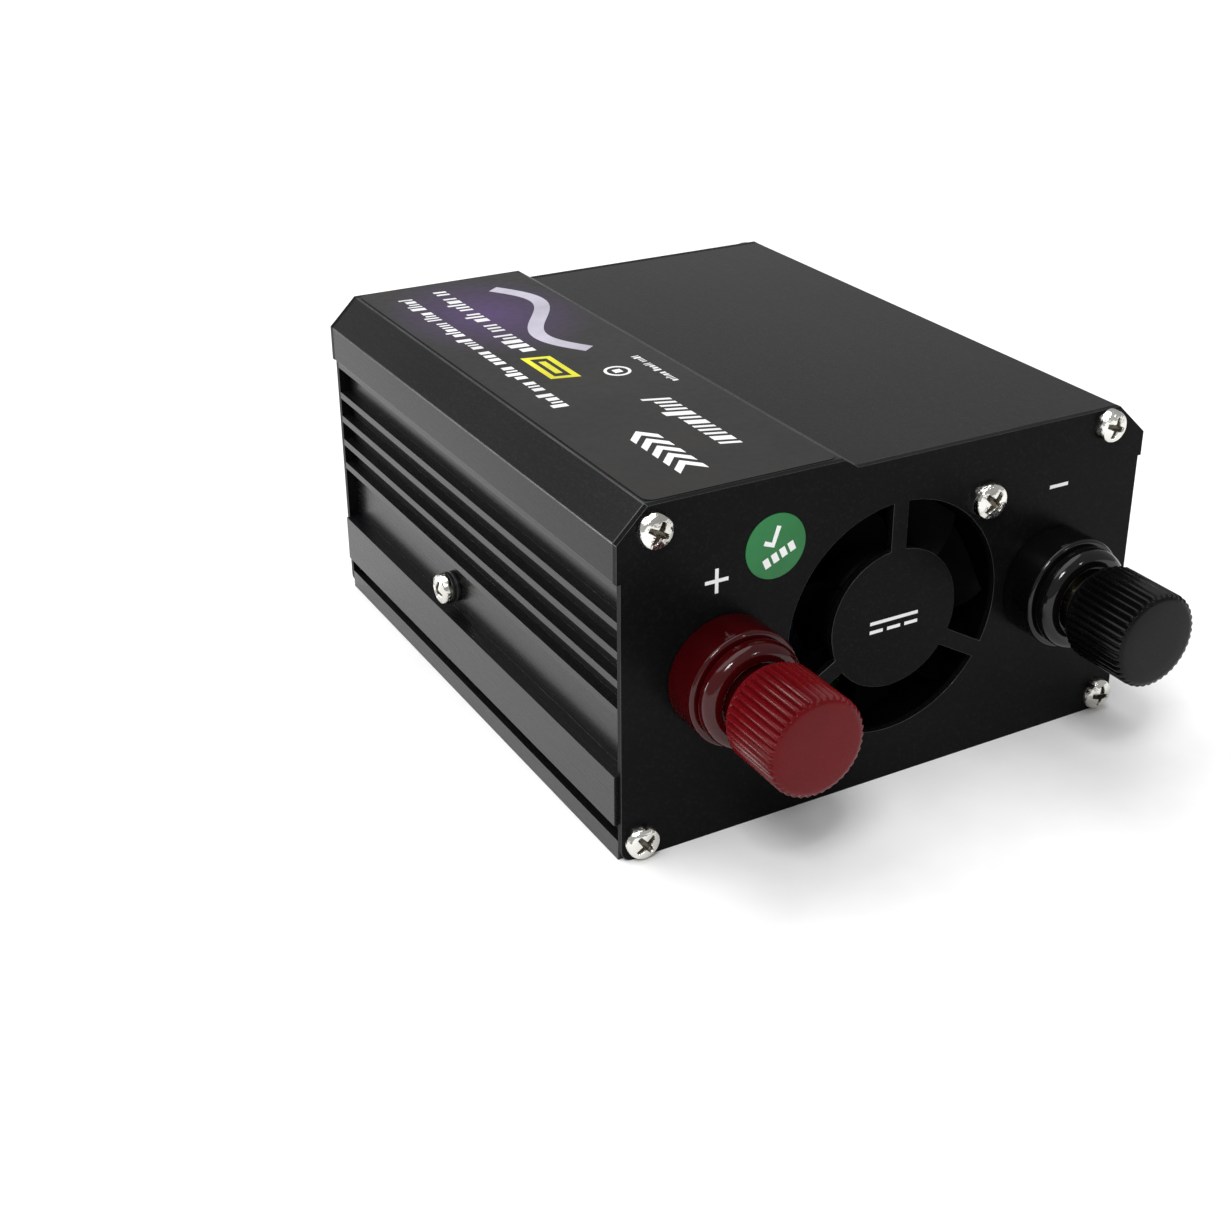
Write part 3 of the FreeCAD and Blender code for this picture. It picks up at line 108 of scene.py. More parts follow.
class Tree:
    """A material's node tree, with short calls for the nodes used here."""

    def __init__(self, name):
        self.material = bpy.data.materials.new(name)
        self.material.use_nodes = True
        self.nodes = self.material.node_tree.nodes
        self.links = self.material.node_tree.links
        self.shader = self.nodes["Principled BSDF"]
        coordinates = self.nodes.new("ShaderNodeTexCoord")
        self.place = coordinates.outputs["Object"]

    def link(self, source, target):
        self.links.new(source, target)

    def noise(self, scale, detail, stretch=(1, 1, 1)):
        """Noise of the given features per metre; a small stretch draws it out along that axis."""
        mapping = self.nodes.new("ShaderNodeMapping")
        mapping.inputs["Scale"].default_value = stretch
        self.link(self.place, mapping.inputs["Vector"])
        noise = self.nodes.new("ShaderNodeTexNoise")
        noise.inputs["Scale"].default_value = scale
        noise.inputs["Detail"].default_value = detail
        self.link(mapping.outputs["Vector"], noise.inputs["Vector"])
        return noise.outputs["Fac"]

    def remap(self, source, low, high, start=0.35, end=0.65):
        """Turn a value between start and end into one between low and high."""
        node = self.nodes.new("ShaderNodeMapRange")
        node.inputs["From Min"].default_value = start
        node.inputs["From Max"].default_value = end
        node.inputs["To Min"].default_value = low
        node.inputs["To Max"].default_value = high
        self.link(source, node.inputs["Value"])
        return node.outputs["Result"]

    def mix(self, factor, first, second):
        """Mix of two colours, each a colour or another node's output."""
        node = self.nodes.new("ShaderNodeMix")
        node.data_type = "RGBA"
        self.link(factor, node.inputs["Factor"])
        for socket, colour in (("A", first), ("B", second)):
            target = [s for s in node.inputs if s.name == socket and s.type == "RGBA"][0]
            if isinstance(colour, tuple):
                target.default_value = (*colour, 1.0)
            else:
                self.link(colour, target)
        return [s for s in node.outputs if s.type == "RGBA"][0]

    def bump(self, height, strength, distance):
        node = self.nodes.new("ShaderNodeBump")
        node.inputs["Strength"].default_value = strength
        node.inputs["Distance"].default_value = distance
        self.link(height, node.inputs["Height"])
        self.link(node.outputs["Normal"], self.shader.inputs["Normal"])

    def colour(self, source):
        self.link(source, self.shader.inputs["Base Color"])

    def roughness(self, source):
        self.link(source, self.shader.inputs["Roughness"])

    def vector_math(self, operation, source, value=None):
        node = self.nodes.new("ShaderNodeVectorMath")
        node.operation = operation
        self.link(source, node.inputs[0])
        if value is not None:
            node.inputs[1].default_value = value
        return node.outputs["Value" if operation == "LENGTH" else "Vector"]

    def constants(self, values):
        """Set the shader's own sockets, by their names."""
        for name, value in values.items():
            self.shader.inputs[name].default_value = value


BLOTCH_SCALE = 90.0


def grained(name, dark, light, rough, grain, bump=0.15, metallic=0.0, coat=0.0):
    """Surface with blotchy colour, uneven gloss and a fine grain of the given size."""
    tree = Tree(name)
    blotches = tree.remap(tree.noise(BLOTCH_SCALE, 3.0), 0, 1)
    tree.colour(tree.mix(blotches, dark, light))
    tree.roughness(tree.remap(tree.noise(0.4 / grain, 4.0), rough - 0.05, rough + 0.07))
    tree.bump(tree.noise(1.0 / grain, 2.0), bump, grain * 0.3)
    tree.constants({"Metallic": metallic, "Coat Weight": coat})
    return tree


CLOUD_SCALE = 28.0
SPECKLE_SCALE = 2200.0
SPECKLE_GAIN = 2.2
LINE_SCALE = 1400.0
ETCH_SCALE = 3200.0
ETCH_DEPTH = 0.008 * MM


def anodised(name, dark, light, rough, sheen, stretch):
    """Black anodised aluminium: faint speckle and drawing lines along the extrusion."""
    tree = Tree(name)
    speckle = tree.remap(tree.noise(SPECKLE_SCALE, 1.0), 0.0, 1.0, 0.52, 0.85)
    clouds = tree.mix(tree.remap(tree.noise(CLOUD_SCALE, 3.0), 0, 1), dark, light)
    tree.colour(tree.mix(speckle, clouds, tuple(c * SPECKLE_GAIN for c in light)))
    lines = tree.noise(LINE_SCALE, 3.0, stretch)
    tree.roughness(tree.remap(lines, rough - 0.008, rough + 0.012))
    tree.bump(tree.noise(ETCH_SCALE, 2.0), 0.08, ETCH_DEPTH)
    tree.constants({"Specular IOR Level": sheen})
    return tree.material


def painted_edge_highlight():
    """Lighter, slightly metallic colour for the rounded edges: a painted highlight along each edge."""
    dark = (0.016, 0.017, 0.018)
    light = (0.040, 0.042, 0.044)
    return grained("painted_edge_highlight", dark, light, 0.30, 0.4 * MM, bump=0.1, metallic=0.35).material


def nickel():
    """Bright plating of the screw heads, slightly wavy."""
    dark = (0.56, 0.55, 0.51)
    light = (0.84, 0.83, 0.79)
    return grained("nickel", dark, light, 0.13, 1.1 * MM, bump=0.55, metallic=1.0).material


def painted_recess_shade():
    """Darker, duller plating down in a screw's cross: painted shade in the recess."""
    dark = (0.03, 0.027, 0.02)
    light = (0.20, 0.18, 0.14)
    return grained("painted_recess_shade", dark, light, 0.45, 0.3 * MM, bump=0.4, metallic=0.8).material


def label_film():
    """Charcoal printed film with a violet glow near its rear end."""
    tree = Tree("label_film")
    low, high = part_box("top_label")
    glow_centre = low.lerp(high, 0.5) + Vector((0.0, 31 * MM, 0.0))
    glow_reach = Vector((17 * MM, 22 * MM, 1.0))
    shifted = tree.vector_math("SUBTRACT", tree.place, glow_centre)
    squeezed = tree.vector_math("DIVIDE", shifted, glow_reach)
    flat = tree.vector_math("MULTIPLY", squeezed, (1.0, 1.0, 0.0))
    glow = tree.remap(tree.vector_math("LENGTH", flat), 1.0, 0.0, 0.0, 1.0)
    charcoal = ((0.014, 0.0135, 0.013), (0.019, 0.018, 0.017))
    violet = (0.060, 0.030, 0.105)
    film = tree.mix(tree.remap(tree.noise(60.0, 3.0), 0, 1), *charcoal)
    tree.colour(tree.mix(glow, film, violet))
    tree.roughness(tree.remap(tree.noise(700.0, 2.0), 0.30, 0.37))
    tree.bump(tree.noise(1500.0, 2.0), 0.08, 0.02 * MM)
    tree.constants({"Specular IOR Level": 0.18})
    return tree.material


def ink(name, dark, light):
    """Screen-printed ink."""
    return grained(name, dark, light, 0.45, 0.15 * MM, bump=0.12).material


def glossy_plastic(name, dark, light, rough):
    """Moulded plastic with soft flow marks under a clear skin."""
    tree = grained(name, dark, light, rough, 1.2 * MM, bump=0.06, coat=0.3)
    tree.constants({"Coat Roughness": 0.08})
    return tree.material


def matte_plastic(name, dark, light, rough):
    """Moulded plastic with a spark-eroded texture."""
    return grained(name, dark, light, rough, 0.35 * MM, bump=0.3).material


def dark_plastic(name, dark, light, rough, sheen):
    """Moulded plastic with a thin reflection, so that its shaded sides stay deep."""
    tree = grained(name, dark, light, rough, 0.3 * MM, bump=0.03)
    tree.constants({"Specular IOR Level": sheen})
    return tree.material


def bare_metal(name, dark, light, rough):
    """Metal without a coating, finely scuffed."""
    return grained(name, dark, light, rough, 0.4 * MM, metallic=1.0).material


def lamp_lens():
    """Green acrylic of the indicator."""
    tree = grained("lamp_lens", (0.02, 0.32, 0.06), (0.04, 0.50, 0.10), 0.12, 0.8 * MM, bump=0.03)
    tree.constants({"Transmission Weight": 0.5, "IOR": 1.49})
    return tree.material


def floor_white():
    """Plain paper of the studio floor."""
    dark = (0.90, 0.90, 0.90)
    light = (0.93, 0.93, 0.93)
    return grained("floor_white", dark, light, 0.7, 2 * MM, bump=0.02).material


# ------------------------------------------------------------------ mesh helpers

def piece_from(name, bm, materials, body, angle=35.0):
    """Turn a bmesh into a smooth-shaded piece that rides on a CAD body."""
    bmesh.ops.recalc_face_normals(bm, faces=bm.faces)
    mesh = bpy.data.meshes.new(name)
    bm.to_mesh(mesh)
    bm.free()
    for material in materials:
        mesh.materials.append(material)
    mesh.shade_smooth()
    mesh.set_sharp_from_angle(angle=math.radians(angle))
    piece = bpy.data.objects.new(name, mesh)
    bpy.context.scene.collection.objects.link(piece)
    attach(piece, body)
    return piece


def bake_modifiers(piece):
    """Replace a piece's mesh by what its modifiers make of it."""
    bpy.context.view_layer.update()
    graph = bpy.context.evaluated_depsgraph_get()
    final = bpy.data.meshes.new_from_object(piece.evaluated_get(graph), depsgraph=graph)
    piece.modifiers.clear()
    piece.data = final


def round_edges(piece, width, segments, edge_highlight_slot, angle):
    """Round a piece's sharp edges and keep its flat faces flat."""
    bevel = piece.modifiers.new("bevel", "BEVEL")
    bevel.width = width
    bevel.segments = segments
    bevel.limit_method = "ANGLE"
    bevel.angle_limit = math.radians(angle)
    # The bevel faces take the second slot's lighter edge material: a painted highlight along the
    # rounded edges.
    bevel.material = edge_highlight_slot
    normals = piece.modifiers.new("normals", "WEIGHTED_NORMAL")
    normals.keep_sharp = False
    bake_modifiers(piece)


WELD = 1e-7
FLAT_ANGLE = math.radians(0.5)


def refine(node, materials, width, segments=3, angle=32.0):
    """Copy of a CAD node with clean flats and rounded edges, in the node's place."""
    source = frame["nodes"][node]
    bm = bmesh.new()
    bm.from_mesh(source.data)
    bmesh.ops.remove_doubles(bm, verts=bm.verts, dist=WELD)
    bmesh.ops.dissolve_limit(bm, angle_limit=FLAT_ANGLE, verts=bm.verts, edges=bm.edges)
    for face in bm.faces:
        face.material_index = 0
    piece = piece_from(node + "_piece", bm, materials, source["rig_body"])
    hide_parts(node)
    edge_highlight_slot = 1 if len(materials) > 1 else -1
    round_edges(piece, width, segments, edge_highlight_slot, angle)


def filleted(corners, steps=6):
    """Profile with each (radius, along, fillet) corner rounded by its fillet."""
    points = []
    last = len(corners) - 1
    for i, (radius, along, fillet) in enumerate(corners):
        here = Vector((radius, along))
        if fillet == 0 or i in (0, last):
            points.append(here)
            continue
        before = Vector(corners[i - 1][:2])
        after = Vector(corners[i + 1][:2])
        back = (before - here).normalized()
        ahead = (after - here).normalized()
        half = back.angle(ahead) / 2
        reach = fillet / math.tan(half)
        centre = here + (back + ahead).normalized() * (fillet / math.sin(half))
        start = here + back * reach - centre
        end = here + ahead * reach - centre
        for step in range(steps + 1):
            spoke = start.lerp(end, step / steps)
            points.append(centre + spoke.normalized() * fillet)
    return points


def skin(bm, rings):
    """Quads between neighbouring rings of equally many points."""
    for first, second in zip(rings, rings[1:]):
        for i in range(len(first)):
            j = (i + 1) % len(first)
            bm.faces.new((first[i], first[j], second[j], second[i]))


def lathe(name, profile, axis_x, axis_z, materials, body, segments=96, reach=None, angle=35.0):
    """Solid of revolution round a line along Y; profile points are (radius, y).

    reach, if given, changes a point's radius by its turn round the line.
    """
    bm = bmesh.new()
    rings = []
    for radius, along in profile:
        ring = []
        for i in range(segments):
            turn = 2 * math.pi * i / segments
            size = reach(radius, turn) if reach else radius
            spot = (axis_x + size * math.cos(turn), along, axis_z + size * math.sin(turn))
            ring.append(bm.verts.new(spot))
        rings.append(ring)
    skin(bm, rings)
    bm.faces.new(rings[0])
    bm.faces.new(rings[-1])
    return piece_from(name, bm, materials, body, angle)


# ------------------------------------------------------------------ case

def make_case(finish):
    # The edge finish is lighter than the faces: a painted highlight along the rounded edges.
    edge = finish["edge"]
    refine("top_cover", [finish["cover"], edge], 0.22 * MM)
    refine("lower_channel", [finish["side"], edge], 0.18 * MM)
    refine("front_plate", [finish["plate"], edge], 0.16 * MM)
    refine("rear_plate", [finish["plate"], edge], 0.16 * MM)


# ------------------------------------------------------------------ screws

HEAD_RADIUS = 2.7 * MM
HEAD_HEIGHT = 1.9 * MM
ARM_REACH = 1.75 * MM
ARM_WIDTH = 0.46 * MM
ARM_TAPER = 0.45
ARM_WALL = 0.16 * MM
ARM_END = 0.30 * MM
RECESS_DEPTH = 1.25 * MM
# Faces deeper than this in the cross get the darker plating: painted shade.
RECESS_SHADE_DEPTH = 0.25 * RECESS_DEPTH
DOME_DROP = 0.38
RIM_START = 0.86
RIM_DROP = 0.45
HEAD_RINGS = 40
HEAD_TURNS = 96
SHANK_RADIUS = 1.25 * MM
PLATE_SHANK = 10 * MM
SIDE_SHANK = 9 * MM
FAN_HEAD_SCALE = 1.12
HEAD_WELD = 1e-8
HEAD_SMOOTHING = 40.0
SIDE_SPIN = 0.3


def clamp(value):
    return max(0.0, min(1.0, value))


def recess_depth(x, y):
    """How far the cross recess goes in at a point of the head."""
    long = max(abs(x), abs(y))
    short = min(abs(x), abs(y))
    taper = ARM_TAPER * long / ARM_REACH
    width = ARM_WIDTH * (1.15 - taper)
    inside = min(clamp((width - short) / ARM_WALL), clamp((ARM_REACH - long) / ARM_END))
    return inside * RECESS_DEPTH * (1.0 - taper)


def head_height(share):
    """Height of the domed head over its seat; share runs from 0 in the middle to 1 at the rim."""
    dome = HEAD_HEIGHT * (1.0 - DOME_DROP * share * share)
    if share <= RIM_START:
        return dome
    fall = (share - RIM_START) / (1.0 - RIM_START)
    return dome - RIM_DROP * HEAD_HEIGHT * fall * fall


def add_pan_head(bm, seat, outward, across, spin, shank, scale=1.0):
    """Domed cross-recess head and a plain shank on a point."""
    side = outward.cross(across)
    cos_spin = math.cos(spin)
    sin_spin = math.sin(spin)
    grid = []
    for i in range(HEAD_RINGS + 1):
        share = i / HEAD_RINGS
        row = []
        for j in range(HEAD_TURNS):
            turn = 2 * math.pi * j / HEAD_TURNS
            x = HEAD_RADIUS * share * math.cos(turn)
            y = HEAD_RADIUS * share * math.sin(turn)
            depth = recess_depth(x * cos_spin - y * sin_spin, x * sin_spin + y * cos_spin)
            up = head_height(share) - depth
            spot = (across * x + side * y + outward * up) * scale
            row.append((bm.verts.new(seat + spot), depth))
        grid.append(row)
    for size, up in ((HEAD_RADIUS * scale, 0.0), (SHANK_RADIUS, 0.0), (SHANK_RADIUS, -shank)):
        row = []
        for j in range(HEAD_TURNS):
            turn = 2 * math.pi * j / HEAD_TURNS
            spot = across * (size * math.cos(turn)) + side * (size * math.sin(turn))
            row.append((bm.verts.new(seat + spot + outward * up), 0.0))
        grid.append(row)
    for first, second in zip(grid, grid[1:]):
        for j in range(HEAD_TURNS):
            k = (j + 1) % HEAD_TURNS
            corners = (first[j], first[k], second[k], second[j])
            face = bm.faces.new([corner[0] for corner in corners])
            # Deep faces of the cross take the darker plating: painted shade in the recess.
            deep = sum(corner[1] for corner in corners) / 4
            face.material_index = 1 if deep > RECESS_SHADE_DEPTH else 0
    bm.faces.new([corner[0] for corner in grid[-1]])


def screw_piece(name, node, bm, finish):
    """Finish the heads in a mesh as one piece, in a CAD node's place."""
    bmesh.ops.remove_doubles(bm, verts=bm.verts, dist=HEAD_WELD)
    piece = piece_from(name, bm, [finish["nickel"], finish["recess_shade"]], CASE, HEAD_SMOOTHING)
    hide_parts(node)


def solid_boxes(node):
    """Lowest and highest corner of each separate solid of a CAD node."""
    bm = bmesh.new()
    bm.from_mesh(frame["nodes"][node].data)
    bmesh.ops.remove_doubles(bm, verts=bm.verts, dist=WELD)
    waiting = set(bm.verts)
    boxes = []
    while waiting:
        reached = [waiting.pop()]
        places = []
        while reached:
            vert = reached.pop()
            places.append(vert.co.copy())
            for edge in vert.link_edges:
                other = edge.other_vert(vert)
                if other in waiting:
                    waiting.remove(other)
                    reached.append(other)
        low = Vector([min(place[i] for place in places) for i in range(3)])
        high = Vector([max(place[i] for place in places) for i in range(3)])
        boxes.append((low, high))
    bm.free()
    return sorted(boxes, key=lambda box: (round(box[0].x, 4), round(box[0].z, 4)))


def make_plate_screws(name, node, face, way, finish, spins, scale=1.0):
    """Screws in an end plate, where the CAD has them, each turned by its own angle."""
    bm = bmesh.new()
    for (low, high), spin in zip(solid_boxes(node), spins):
        seat = Vector(((low.x + high.x) / 2, face, (low.z + high.z) / 2))
        add_pan_head(bm, seat, Vector((0, way, 0)), Vector((1, 0, 0)), spin, PLATE_SHANK, scale)
    screw_piece(name, node, bm, finish)


def make_all_screws(finish):
    make_plate_screws("front_screw_heads", "front_corner_screws", FRONT, -1, finish,
                      spins=(0.9, 0.5, 0.35, 0.2))
    make_plate_screws("rear_screw_heads", "rear_corner_screws", REAR, 1, finish,
                      spins=(0.1, 0.7, 1.1, 0.4))
    make_plate_screws("fan_screw_heads", "fan_screws", FRONT, -1, finish,
                      spins=(0.3, 0.75), scale=FAN_HEAD_SCALE)
    make_side_screws(finish)


def make_side_screws(finish):
    """A screw on a round black bush in the recess of each side."""
    for name, way, box in zip(("left", "right"), (-1, 1), solid_boxes("side_bushes")):
        low, high = box
        middle = (low + high) / 2
        length = high.x - low.x
        seat = middle + Vector((way * length / 2, 0, 0))
        bm = bmesh.new()
        add_pan_head(bm, seat, Vector((way, 0, 0)), Vector((0, 1, 0)), SIDE_SPIN, SIDE_SHANK)
        screw_piece(name + "_side_screw", "side_screws", bm, finish)
        bush = make_bush(name, way, middle, length, high.z - middle.z, finish)
        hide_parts("side_bushes")


BUSH_BORE = 1.3 * MM
BUSH_TURNS = 64


def make_bush(name, way, middle, length, radius, finish):
    """Turned spacer with a groove round it, between the screw head and the wall."""
    half = length / 2
    corners = [
        (BUSH_BORE, -half, 0),
        (radius, -half, 0.15 * MM),
        (radius, -0.15 * MM, 0.1 * MM),
        (radius - 0.35 * MM, 0.0, 0.1 * MM),
        (radius, 0.15 * MM, 0.1 * MM),
        (radius, half, 0.2 * MM),
        (BUSH_BORE, half, 0),
    ]
    bm = bmesh.new()
    rings = []
    for size, along in filleted(corners, 4):
        ring = []
        for j in range(BUSH_TURNS):
            turn = 2 * math.pi * j / BUSH_TURNS
            spoke = Vector((way * along, size * math.cos(turn), size * math.sin(turn)))
            ring.append(bm.verts.new(middle + spoke))
        rings.append(ring)
    skin(bm, rings + rings[:1])
    return piece_from(name + "_side_bush", bm, [finish["nylon"]], CASE)


# ------------------------------------------------------------------ binding posts

FLANGE_HEIGHT = 6.4 * MM
POST_BORE = 3.0 * MM
NECK_RADIUS = 4.9 * MM


def make_post(colour, finish):
    """Turned base of a binding post: neck in the plate, flange, and a rounded collar."""
    base_low, base_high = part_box(colour + "_post_base")
    x = (base_low.x + base_high.x) / 2
    z = (base_low.z + base_high.z) / 2
    plastic = finish[colour + "_base"]
    radius = base_high.z - z
    rim_y = FRONT - FLANGE_HEIGHT
    face_y = base_low.y
    corners = [
        (POST_BORE, base_high.y, 0),
        (NECK_RADIUS, base_high.y, 0),
        (NECK_RADIUS, FRONT, 0),
        (radius, FRONT, 0.3 * MM),
        (radius, rim_y, 0.55 * MM),
        (radius - 1.5 * MM, rim_y, 0.25 * MM),
        (radius - 1.5 * MM, rim_y - 0.35 * MM, 0.15 * MM),
        (radius - 0.75 * MM, rim_y - 0.35 * MM, 0.45 * MM),
        (radius - 0.75 * MM, face_y, 1.7 * MM),
        (radius - 3.2 * MM, face_y, 0.3 * MM),
        (radius - 3.6 * MM, face_y + 0.8 * MM, 0.3 * MM),
        (POST_BORE, face_y + 0.8 * MM, 0),
    ]
    base = lathe(colour + "_post_flange", filleted(corners), x, z, [plastic], CASE, 128)
    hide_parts(colour + "_post_base")
    make_knob(colour, x, z, finish)


FLUTES = 40
FLUTE_DEPTH = 0.52 * MM
RIDGE_FULLNESS = 0.6
STEPS_PER_FLUTE = 10
KNOB_BORE = 4.6 * MM
KNOB_SMOOTHING = 50.0


def make_knob(colour, x, z, finish):
    """Fluted grip with a plain face; the flutes run out at both ends."""
    low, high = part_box(colour + "_knob")
    outer = high.z - z
    root = outer - FLUTE_DEPTH

    def reach(radius, turn):
        """Rounded ridges between narrow valleys that fade out towards the root."""
        wave = 0.5 + 0.5 * math.cos(FLUTES * turn)
        share = clamp((radius - root) / FLUTE_DEPTH * 1.2)
        return radius - FLUTE_DEPTH * (1.0 - wave ** RIDGE_FULLNESS) * share

    profile = [Vector(point) for point in (
        (KNOB_BORE, high.y),
        (root - 0.9 * MM, high.y),
        (root - 0.4 * MM, high.y - 0.10 * MM),
        (root - 0.1 * MM, high.y - 0.35 * MM),
        (root, high.y - 0.70 * MM),
        (root, high.y - 0.95 * MM),
        (outer - 0.15 * MM, high.y - 1.10 * MM),
        (outer, high.y - 1.40 * MM),
        (outer, low.y + 4.0 * MM),
        (outer, low.y + 1.00 * MM),
        (outer - 0.08 * MM, low.y + 0.62 * MM),
        (outer - 0.30 * MM, low.y + 0.38 * MM),
        (root - 0.02 * MM, low.y + 0.34 * MM),
        (root - 0.25 * MM, low.y + 0.16 * MM),
        (root - 0.75 * MM, low.y + 0.08 * MM),
        (root * 0.6, low.y + 0.02 * MM),
        (root * 0.3, low.y),
        (0.4 * MM, low.y),
    )]
    knob = lathe(colour + "_knob_grip", profile, x, z, [finish[colour + "_knob"]], colour + "_knob",
                 FLUTES * STEPS_PER_FLUTE, reach, KNOB_SMOOTHING)
    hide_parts(colour + "_knob")


# ------------------------------------------------------------------ printed marks

INK_THICKNESS = 0.03 * MM


class Surface:
    """Flat place to print on: an origin, the reading direction, up, and outward."""

    def __init__(self, origin, along, up):
        self.origin = origin
        self.along = along
        self.up = up
        self.outward = along.cross(up)

    def at(self, s, t, height=0.0):
        """Point s and t millimetres along and up, and height metres off the surface."""
        return self.origin + self.along * (s * MM) + self.up * (t * MM) + self.outward * height


def print_shapes(name, surface, outlines, material):
    """Thin raised patches of ink, one for each outline of (s, t) points in millimetres."""
    bm = bmesh.new()
    for outline in outlines:
        low = [bm.verts.new(surface.at(s, t)) for s, t in outline]
        high = [bm.verts.new(surface.at(s, t, INK_THICKNESS)) for s, t in outline]
        bm.faces.new(high)
        bm.faces.new(low)
        for i in range(len(outline)):
            j = (i + 1) % len(outline)
            bm.faces.new((low[i], low[j], high[j], high[i]))
    piece_from(name, bm, [material], CASE)


def bar(s, t, width, height, slant=0.0):
    """Slanted upright bar with its lower left corner at (s, t)."""
    lean = height * slant
    return [(s, t), (s + width, t), (s + width + lean, t + height), (s + lean, t + height)]


def ring_arc(s, t, radius, width, start, end, steps=40):
    """Band of a circle between two angles in degrees."""
    turns = [math.radians(start + (end - start) * i / steps) for i in range(steps + 1)]
    hole = radius - width
    outer = [(s + radius * math.cos(a), t + radius * math.sin(a)) for a in turns]
    inner = [(s + hole * math.cos(a), t + hole * math.sin(a)) for a in reversed(turns)]
    return outer + inner


def wave_band(s, t, length, height, width, steps=48):
    """One whole sine wave drawn with a broad pen."""
    top = []
    bottom = []
    for i in range(steps + 1):
        share = i / steps
        phase = 2 * math.pi * share
        slope = math.atan(math.cos(phase) * math.pi * height / length)
        x = s + length * share
        y = t + math.sin(phase) * height / 2
        dx = -math.sin(slope) * width / 2
        dy = math.cos(slope) * width / 2
        top.append((x + dx, y + dy))
        bottom.append((x - dx, y - dy))
    return top + bottom[::-1]


def chevron_row(s, t, count, pitch, height, stroke):
    """Row of bold arrowheads pointing along the reading direction."""
    reach = height * 0.55
    shapes = []
    for i in range(count):
        x = s + i * pitch
        shapes.append([
            (x, t), (x + stroke, t), (x + stroke + reach, t + height / 2), (x + stroke, t + height),
            (x, t + height), (x + reach, t + height / 2),
        ])
    return shapes


BROAD_STROKE = 2.2
LOW_STROKE = 0.72
STROKE_GAP = 1.15
GROUP_GAP = 0.42


def stroke_row(s, t, height, length, seed, slant=0.0, weight=0.22, group=(3, 6)):
    """Groups of upright strokes of uneven height: the texture of print, with nothing to read."""
    draw = random.Random(seed)
    end = s + length
    shapes = []
    while s < end:
        for _ in range(draw.randint(*group)):
            width = height * weight * draw.choice((1.0, 1.0, BROAD_STROKE))
            if s + width > end:
                break
            rise = height * draw.choice((LOW_STROKE, LOW_STROKE, 1.0))
            shapes.append(bar(s, t, width, rise, slant))
            s += width + height * weight * STROKE_GAP
        s += height * GROUP_GAP
    return shapes


def port_outline(s, t, width, height, line, slant):
    """Leaning frame of a socket with its contact bar inside."""
    lean = line * slant
    inner_height = height - 2 * line
    contact_rise = height * 0.38
    contact_start = s + width * 0.22 + contact_rise * slant
    return [
        bar(s, t, width, line, slant),
        bar(s + (height - line) * slant, t + height - line, width, line, slant),
        bar(s + lean, t + line, line, inner_height, slant),
        bar(s + lean + width - line, t + line, line, inner_height, slant),
        bar(contact_start, t + contact_rise, width * 0.56, height * 0.24, slant),
    ]


def plus_outline(s, t, arm, half):
    """Plus sign round (s, t), with arms of the given reach and half width."""
    return [
        (s - arm, t - half), (s - half, t - half), (s - half, t - arm), (s + half, t - arm),
        (s + half, t - half), (s + arm, t - half), (s + arm, t + half), (s + half, t + half),
        (s + half, t + arm), (s - half, t + arm), (s - half, t + half), (s - arm, t + half),
    ]


LABEL_CORNER = 1.5 * MM


def make_label(finish):
    """Film with rounded corners, thin enough to leave room for the ink in the CAD box."""
    low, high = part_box("top_label")
    bm = bmesh.new()
    bmesh.ops.create_cube(bm, size=1.0)
    thickness = high.z - low.z - 2 * INK_THICKNESS
    size = Vector((high.x - low.x, high.y - low.y, thickness))
    middle = Vector(((low.x + high.x) / 2, (low.y + high.y) / 2, low.z + thickness / 2))
    bmesh.ops.scale(bm, vec=size, verts=bm.verts)
    bmesh.ops.translate(bm, vec=middle, verts=bm.verts)
    uprights = [e for e in bm.edges if abs(e.verts[0].co.z - e.verts[1].co.z) > thickness / 2]
    bmesh.ops.bevel(bm, geom=uprights, offset=LABEL_CORNER, segments=6, affect="EDGES", profile=0.5)
    film = piece_from("label_sheet", bm, [finish["label"]], CASE)
    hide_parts("top_label")
    print_on = Surface(Vector((0.0, 0.0, low.z + thickness)), Vector((0, 1, 0)), Vector((-1, 0, 0)))
    make_label_marks(print_on, finish)


def make_label_marks(surface, finish):
    """Marks read from the left side: s runs from the front to the rear, t towards the left."""
    white = finish["white_ink"]
    title = chevron_row(s=-45.0, t=28.4, count=5, pitch=3.1, height=4.6, stroke=1.7)
    print_shapes("title_chevrons", surface, title, white)
    subtitle = stroke_row(s=-39.5, t=19.4, height=4.3, length=21.5, seed=4, slant=0.35,
                          weight=0.17, group=(40, 40))
    print_shapes("subtitle_strokes", surface, subtitle, white)
    caption = stroke_row(s=-14.5, t=34.3, height=2.5, length=62.0, seed=3, slant=0.1)
    print_shapes("caption_strokes", surface, caption, white)
    rating = stroke_row(s=10.4, t=27.3, height=3.2, length=36.4, seed=5, slant=0.1)
    print_shapes("rating_strokes", surface, rating, white)
    port = port_outline(s=-4.0, t=26.7, width=10.8, height=4.7, line=1.0, slant=0.25)
    print_shapes("port_mark", surface, port, finish["yellow_ink"])
    wave = wave_band(s=7.0, t=19.4, length=36.5, height=8.2, width=2.7)
    print_shapes("wave_mark", surface, [wave], finish["silver_ink"])
    halves = [ring_arc(s=-4.6, t=20.6, radius=2.2, width=0.5, start=a, end=a + 180) for a in (0, 180)]
    core = bar(s=-5.3, t=19.9, width=1.4, height=1.4)
    print_shapes("ring_mark", surface, halves + [core], white)
    origin = stroke_row(s=-12.8, t=14.2, height=1.3, length=13.4, seed=9)
    print_shapes("origin_strokes", surface, origin, white)


